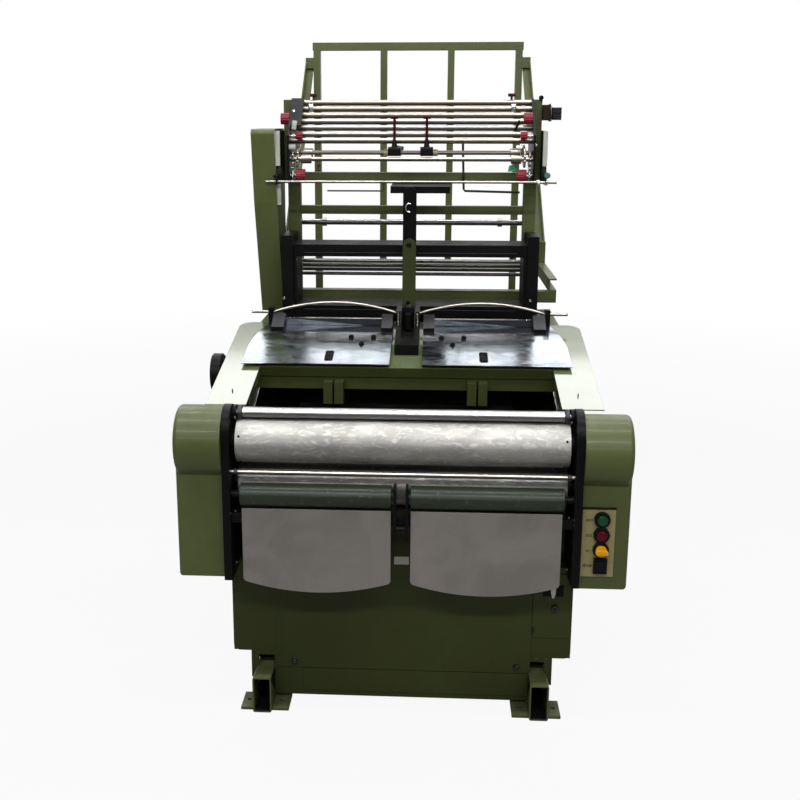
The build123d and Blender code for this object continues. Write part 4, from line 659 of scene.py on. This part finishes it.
class Kit:
    """One piece under construction: turned, bevelled, flat and bent solids in one mesh."""

    def __init__(self):
        self.mesh = bmesh.new()

    def join(self, one, two):
        """Faces between two rings, either of which may be a single point."""
        count = max(len(one), len(two))
        for step in range(count):
            following = (step + 1) % count
            corners = [one[step % len(one)], one[following % len(one)]]
            corners += [two[following % len(two)], two[step % len(two)]]
            self.mesh.faces.new(list(dict.fromkeys(corners)))

    def close(self, rings):
        """Closed solid over rings of points, from the first ring to the last."""
        rings = [[self.mesh.verts.new(point) for point in ring] for ring in rings]
        for one, two in zip(rings, rings[1:]):
            self.join(one, two)
        for end in (rings[0], rings[-1]):
            if len(end) > 2:
                self.mesh.faces.new(end)

    def turned(self, start, axis, profile, sides=24, turn=0.0):
        """Solid of revolution from (distance along the axis, radius) pairs in millimetres."""
        across, over, along = square_to(axis)
        rings = []
        for distance, radius in profile:
            centre = start + along * (distance / 1000)
            count = sides if radius > 0 else 1
            angles = [turn + 2 * math.pi * step / count for step in range(count)]
            reach = radius / 1000
            spokes = [across * math.cos(a) + over * math.sin(a) for a in angles]
            rings.append([centre + spoke * reach for spoke in spokes])
        self.close(rings)

    def slab(self, centre, size, edge=0.8, tilt=(0, 0, 0)):
        """Bevelled block; size in millimetres, tilt in degrees about X, Y and Z."""
        rotation = Matrix.Identity(4)
        for angle, axis in zip(tilt, "XYZ"):
            rotation = Matrix.Rotation(math.radians(angle), 4, axis) @ rotation
        stretch = Matrix.Diagonal((size[0] / 1000, size[1] / 1000, size[2] / 1000, 1))
        placed = Matrix.Translation(centre) @ rotation @ stretch
        made = bmesh.ops.create_cube(self.mesh, size=1.0, matrix=placed)
        edges = list({e for v in made["verts"] for e in v.link_edges})
        bmesh.ops.bevel(
            self.mesh, geom=edges, offset=edge / 1000, segments=2, profile=0.5, affect="EDGES"
        )

    def plate(self, outline, depth, thick):
        """Flat plate from an (X, Z) outline in millimetres, its front face at that depth."""
        self.close([[spot(x, face, z) for x, z in outline] for face in (depth, depth + thick)])

    def pipe(self, points, radius, sides=12):
        """Rigid rod through points, with a ring at each bend and chamfered ends."""
        points = [Vector(p) for p in points]
        rings = []
        side = None
        for index, point in enumerate(points):
            before = points[max(index - 1, 0)]
            after = points[min(index + 1, len(points) - 1)]
            ahead = (after - before).normalized()
            if side is None:
                side = square_to(ahead)[0]
            else:
                side = (side - ahead * side.dot(ahead)).normalized()
            over = ahead.cross(side)
            ends = {0: ((0.0, 0.7), (0.3, 1.0)), len(points) - 1: ((-0.3, 1.0), (0.0, 0.7))}
            for shift, share in ends.get(index, ((0.0, 1.0),)):
                reach = radius / 1000 * share
                centre = point + ahead * (shift * radius / 1000)
                angles = [2 * math.pi * step / sides for step in range(sides)]
                spokes = [side * math.cos(a) + over * math.sin(a) for a in angles]
                rings.append([centre + spoke * reach for spoke in spokes])
        self.close(rings)

    def finish(self, name, finish, body="frame"):
        """Makes the piece, dresses it and lets it ride on its body."""
        bmesh.ops.recalc_face_normals(self.mesh, faces=self.mesh.faces)
        data = bpy.data.meshes.new(name)
        self.mesh.to_mesh(data)
        self.mesh.free()
        for face in data.polygons:
            face.use_smooth = True
        data.set_sharp_from_angle(angle=math.radians(35))
        data.materials.append(MATERIALS[finish])
        piece = bpy.data.objects.new(name, data)
        bpy.context.scene.collection.objects.link(piece)
        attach(piece, body)


def hex_bolt(kit, place, axis, flats, turn=0.2):
    """Washer and hexagon head with its chamfer, sized by the head's width across flats."""
    across = flats / 2
    corner = flats / math.sqrt(3)
    washer = [(0, across * 1.45), (across * 0.22, across * 1.45), (across * 0.3, across * 1.35)]
    kit.turned(place, axis, washer, 32)
    head = [(across * 0.3, corner), (across * 1.3, corner)]
    head += [(across * 1.55, across * 0.88), (across * 1.55, 0)]
    kit.turned(place, axis, head, 6, turn)


def socket_screw(kit, place, axis, radius):
    """Cap screw: round head with a rounded rim and a hexagon socket."""
    shares = ((0, 1), (0.85, 1), (1, 0.88), (1, 0.52), (0.45, 0.48), (0.42, 0))
    kit.turned(place, axis, [(radius * up, radius * out) for up, out in shares], 24)


def pan_screw(kit, place, axis, radius):
    """Low domed head with a small dimple sunk in its middle."""
    shares = ((0, 1), (0.3, 0.97), (0.55, 0.7), (0.62, 0.3), (0.4, 0.22), (0.4, 0))
    kit.turned(place, axis, [(radius * up, radius * out) for up, out in shares], 20)


def rounded(left, bottom, right, top, radius, steps=4):
    """Corners of a rectangle with rounded corners, as (X, Z) pairs."""
    outline = []
    corners = ((right, top, 0), (left, top, 90), (left, bottom, 180), (right, bottom, 270))
    for x, z, first in corners:
        inner_x = x - radius if x == right else x + radius
        inner_z = z - radius if z == top else z + radius
        for step in range(steps + 1):
            angle = math.radians(first + 90 * step / steps)
            reach_x, reach_z = radius * math.cos(angle), radius * math.sin(angle)
            outline.append((inner_x + reach_x, inner_z + reach_z))
    return outline


def apron_height(depth):
    """Top of the stainless aprons above the floor at a depth, in millimetres."""
    return APRON_TOP + APRON_SLOPE * (depth - APRON_FRONT)


def add_body_details():
    """Bolts, plates and tag of the lower body, and the front door's lock and handle."""
    kit = Kit()
    for x in (-285, 308):
        hex_bolt(kit, spot(x, PANEL_FACE, 116.5), FRONT, 13)
    for x in (-415, -300, 300, 415):
        for z in (620, 740):
            pan_screw(kit, spot(x, UPPER_FACE, z), FRONT, 4)
    kit.finish("body_bolts", "dark_steel")

    kit = Kit()
    corner = [(394, 142), (394, 66), (390, 56), (382, 50), (382, 131), (330, 131), (330, 142)]
    for side in (-1, 1):
        kit.plate([(side * x, z) for x, z in corner], PANEL_FACE - 0.2, 1.8)
    kit.plate(rounded(-320, 97, 345, 556, 3), PANEL_FACE - 0.7, 0.8)
    kit.plate(rounded(-262, 30, 343, 95, 4), PANEL_FACE - 0.7, 0.8)
    # The body plates take the darker green, painted shade.
    kit.finish("body_plates", "green_painted_shade")

    kit = Kit()
    # Black plates set back behind the gaps above the feet: painted shade in the gaps.
    for side in (-1, 1):
        kit.slab(spot(side * 360, 118, 122), (66, 3, 40), 0.6)
    kit.finish("foot_gap_shade_plates", "black_casting")

    lock_x, lock_z = 404, 288
    hinge_x, hinge_length = 349, 18
    kit = Kit()
    socket_screw(kit, spot(lock_x, PANEL_FACE - 1.6, lock_z), FRONT, 9)
    kit.slab(spot(lock_x, PANEL_FACE - 10.9, lock_z), (3, 3, 11), 0.6, (0, 25, 0))
    for z in (222, 362):
        foot = spot(hinge_x, PANEL_FACE - 1.8, z - hinge_length / 2)
        kit.turned(foot, UP, [(0, 3.2), (hinge_length, 3.2)], 16)
    kit.finish("door_lock", "dark_steel")

    kit = Kit()
    kit.slab(spot(398, PANEL_FACE - 3.0, 336), (53, 3, 30), 1.0)
    kit.finish("door_handle_plate", "black_casting")

    kit = Kit()
    tab = [(391, 349), (392, 330), (395, 318), (398, 316), (401, 318), (404, 330), (405, 349)]
    kit.plate(tab, PANEL_FACE - 6.4, 1.6)
    kit.finish("door_handle_tab", "light_grey")

    kit = Kit()
    kit.plate(rounded(-19, 400, 20, 422, 2), PANEL_FACE - 1.8, 1.0)
    kit.finish("body_tag", "light_grey")


def add_cover_details():
    """Black strip that paints the shadow along the control panel's top edge, printed marks of the
    panel, screws of the covers and side plates.
    """
    kit = Kit()
    # Black strip along the panel's top edge: painted shadow.
    kit.slab(spot(495, -3.2, 592.5), (83, 6, 4), 0.8)
    kit.finish("panel_top_shadow", "black_plastic")

    marks_x, arrow_z, dashes = 471, 441, 4
    arrow = ((13, 0), (5, 6), (5, -6))
    kit = Kit()
    for word_z, width in ((562, 17), (521, 17), (480, 11)):
        pitch = width / dashes
        for row in (-2, 2):
            for step in range(dashes):
                middle = marks_x - width / 2 + (step + 0.5) * pitch
                kit.slab(spot(middle, -4.3, word_z + row), (pitch - 1.2, 0.8, 2.6), 0.2)
    for side in (-1, 1):
        kit.plate([(marks_x + side * x, arrow_z + z) for x, z in arrow], -4.7, 0.8)
    kit.turned(spot(marks_x, -4.0, arrow_z), FRONT, [(0, 3), (0.7, 3)], 20)
    kit.finish("panel_marks", "label_ink")

    kit = Kit()
    for side, cover_top in ((-1, 812), (1, 802)):
        for z in (430, cover_top - 60):
            pan_screw(kit, spot(side * 512, 135.0, z), BACK, 3.6)
    kit.finish("cover_screws", "dark_steel")

    kit = Kit()
    for side in (-1, 1):
        for depth, z in ((-10, 568), (-10, 430), (120, 440), (120, 760), (20, 805)):
            socket_screw(kit, spot(side * SIDE_PLATE_FACE, depth, z), (-side, 0, 0), 4.2)
        kit.turned(spot(side * 430, -25, 568), FRONT, [(0, 2.4), (1.2, 2.2), (1.8, 0)], 12)
    kit.finish("side_plate_screws", "dark_steel")


def add_front_details():
    """Set screws at the take-off roller's ends, and collars of the rods beside it."""
    low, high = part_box("take_off_roller")
    middle = (low + high) / 2
    radius = (high.z - low.z) / 2
    ring_x, sunk = 0.408, 0.0012
    kit = Kit()
    for side in (-1, 1):
        for step in range(4):
            angle = math.radians(25 + 90 * step)
            reach = Vector((0, -math.cos(angle), math.sin(angle)))
            place = Vector((side * ring_x, middle.y, middle.z)) + reach * (radius - sunk)
            socket_screw(kit, place, reach, 3.2)
    kit.finish("roller_set_screws", "black_casting", "take_off_roller")

    kit = Kit()
    for side in (-1, 1):
        place = spot(side * 418, 2, 669)
        kit.turned(place, RIGHT, [(-5, 8.5), (-4, 9.5), (4, 9.5), (5, 8.5)], 28)
        socket_screw(kit, place + Vector((0, -0.009, 0)), FRONT, 2.6)
        kit.turned(spot(side * 412, 61.6, 808.8), RIGHT, [(-6, 18), (-5, 19.5), (5, 19.5), (6, 18)], 36)
    kit.finish("rod_collars", "dark_steel")


def add_head_details():
    """Screws, slot plates and strips of the aprons, chains, post screws, pins and hook."""
    kit = Kit()
    for side in (-1, 1):
        for x, depth in ((163, 524), (130, 471), (98, 523)):
            place = spot(side * x, depth, apron_height(depth))
            kit.turned(place, APRON_UP, [(0, 8.8), (0.6, 8.8), (1.0, 8.4)], 28)
            socket_screw(kit, place, APRON_UP, 7.2)
            slot = spot(side * x, depth - 15, apron_height(depth - 15) + 0.2)
            kit.slab(slot, (5.5, 16, 0.8), 0.3, APRON_LIE)
    kit.finish("apron_screws", "black_plastic")

    kit = Kit()
    for side in (-1, 1):
        for depth, sunk, size, edge in ((390, 4.5, (40, 92, 2.4), 0.6), (384, 2.0, (15, 44, 5), 1.2)):
            kit.slab(spot(side * 215, depth, apron_height(depth) - sunk), size, edge, APRON_LIE)
    kit.finish("apron_slot_plates", "black_casting")

    kit = Kit()
    strip = ((421, 320, 813), (403, 320, 813), (414.5, 293, 763), (434.5, 293, 763))
    for side in (-1, 1):
        kit.slab(spot(side * 206, 616.5, 941.5), (318, 1.6, 4.4), 0.6)
        kit.close([[spot(side * x, depth + back, z) for x, depth, z in strip] for back in (0, 2)])
    kit.finish("head_strips", "bright_steel")

    kit = Kit()
    large_stud = [(0, 3.2), (2.0, 3.2), (2.6, 2.2)]
    small_stud = [(0, 2.0), (1.0, 2.0), (1.4, 1.2)]
    for side in (-1, 1):
        for step in range(7):
            kit.turned(spot(side * 28, 560, 920 + 10 * step), FRONT, large_stud, 14)
            kit.turned(spot(side * 28, 560, 925 + 10 * step), FRONT, small_stud, 10)
        kit.pipe([spot(side * 20.5, 558.6, 919), spot(side * 20.5, 558.6, 986)], 1.7, 8)
    kit.finish("centre_chain", "chain_steel")

    kit = Kit()
    for x in (-380, 364):
        socket_screw(kit, spot(x, 699.6, 1004), FRONT, 4.2)
    kit.finish("post_screws", "bright_steel")

    kit = Kit()
    pin = [(-2, 6.4), (2, 6.4), (3, 5.6), (3, 3), (1, 2.6), (1, 0)]
    for z in (1171, 998):
        kit.turned(spot(-2.5, LINK_REAR - 9.6, z), FRONT, pin, 24)
    kit.finish("link_pins", "black_casting")

    kit = Kit()
    hook = [(7, 1291), (0, 1293), (-6, 1289), (-9, 1282), (-8, 1275), (-3, 1269), (5, 1268)]
    kit.pipe([spot(x - 3, 669, z) for x, z in hook], 2.2, 10)
    kit.finish("tie_hook", "bright_steel")


def add_shed_details():
    """Rib lines of the heald frames, riding with each set of them."""
    for name, rear in (("heald_frames_odd", 0), ("heald_frames_even", 12)):
        kit = Kit()
        for row in range(6):
            depth = 709.5 + rear + 24 * row
            for level in (970, 1143):
                kit.slab(spot(0, depth - 0.3, level), (640, 1.4, 1.6), 0.4)
        kit.finish(name + "_ribs", "dark_steel", name)


def add_feeder_details():
    """Clamps, plates, pins, wires and guards of the feeder and its pull rod."""
    kit = Kit()
    ball = [(0, 3), (2, 5), (6, 7.4), (10, 7.8), (14, 6.4), (17, 3.5), (18, 0)]
    kit.turned(spot(-355, 800, 1544), UP, ball, 24)
    for side in (-1, 1):
        kit.slab(spot(side * 307, 845, 1567), (15, 26, 22), 1.6)
        socket_screw(kit, spot(side * 307, 831.8, 1567), FRONT, 4)
    for x in (376, 399):
        kit.turned(spot(x, 706, 1353), RIGHT, [(-5, 7), (-4, 8), (4, 8), (5, 7)], 24)
    for x in (-340, -332, 332, 340):
        kit.turned(spot(x, 742, 1418), RIGHT, [(-2, 9), (-1.5, 10), (1.5, 10), (2, 9)], 24)
    kit.slab(spot(325, 780, 1444), (22, 3, 30), 0.8)
    bolts = [(side, depth, z) for depth, z in ((760, 1380), (840, 1500)) for side in (-1, 1)]
    for side, depth, z in bolts + [(1, 700, 1460)]:
        hex_bolt(kit, spot(side * 364, depth, z), (side, 0, 0), 7)
    kit.finish("feeder_bright", "bright_steel")

    kit = Kit()
    kit.slab(spot(-343, 708.6, 1517), (14, 2, 26), 0.6, (0, 8, 0))
    kit.slab(spot(-350, 706, 1455), (20, 2, 12), 0.6)
    kit.finish("feeder_tags", "light_grey")

    kit = Kit()
    kit.slab(spot(315, 790, 1515), (7, 8, 34), 1.2, (0, 24, 0))
    kit.turned(spot(391, 880, 1597), FRONT, [(0, 7), (12, 7), (14, 5.5)], 20)
    kit.plate([(-409, 1372), (-388, 1372), (-398, 1352)], 700, 3)
    kit.finish("feeder_dark", "black_casting")

    kit = Kit()
    kit.plate([(292, 1380), (318, 1380), (322, 1392), (312, 1402), (296, 1398)], 800, 2)
    kit.plate([(-48, 1436), (-26, 1434), (-24, 1452), (-46, 1456)], 862, 2)
    kit.finish("clear_guards", "clear_green")

    kit = Kit()
    kit.turned(spot(402, 712, 1373), FRONT, [(0, 7), (3, 9), (12, 9), (14, 7.5), (14, 0)], 20)
    kit.finish("small_knob", "teal_plastic")

    kit = Kit()
    left_wire = ((-262, 1317), (-90, 1317), (-86, 1321), (-86, 1340))
    right_wire = ((157, 1463), (162, 1324), (166, 1318), (335, 1314))
    kit.pipe([spot(x, 868, z) for x, z in left_wire], 2.4, 8)
    kit.pipe([spot(x, 868, z) for x, z in right_wire], 3.6, 10)
    # The wires take the darker green, painted shade.
    kit.finish("bent_wires", "green_painted_shade")


def add_rear_details():
    """Screws of the side and rear panels, bolts of the rear frame and the gear motor's fins."""
    kit = Kit()
    for side in (-1, 1):
        for z in (200, 400, 650, 880):
            pan_screw(kit, spot(side * 432, BODY_REAR, z), BACK, 4.5)
            pan_screw(kit, spot(side * BODY_SIDE, 930, z), (side, 0, 0), 4.5)
            pan_screw(kit, spot(side * BODY_SIDE, 170, z - 40), (side, 0, 0), 4.5)
        for x in (60, 220):
            for z in (910, 165):
                pan_screw(kit, spot(side * x, BODY_REAR, z), BACK, 4.5)
        for z in (1010, 1030, 1340, 1360):
            hex_bolt(kit, spot(side * 377, 1760.0, z), FRONT, 9)
    kit.finish("rear_bolts", "dark_steel")

    kit = Kit()
    for step in range(9):
        kit.slab(spot(438, 880, 1532 + 4 * step), (26, 69, 1.6), 0.4)
    kit.finish("motor_fins", "dark_steel")


dress_nodes()
add_body_details()
add_cover_details()
add_front_details()
add_head_details()
add_shed_details()
add_feeder_details()
add_rear_details()
make_camera()
make_floor()
make_hall()
make_lamps()

bpy.context.scene.view_settings.view_transform = "Standard"
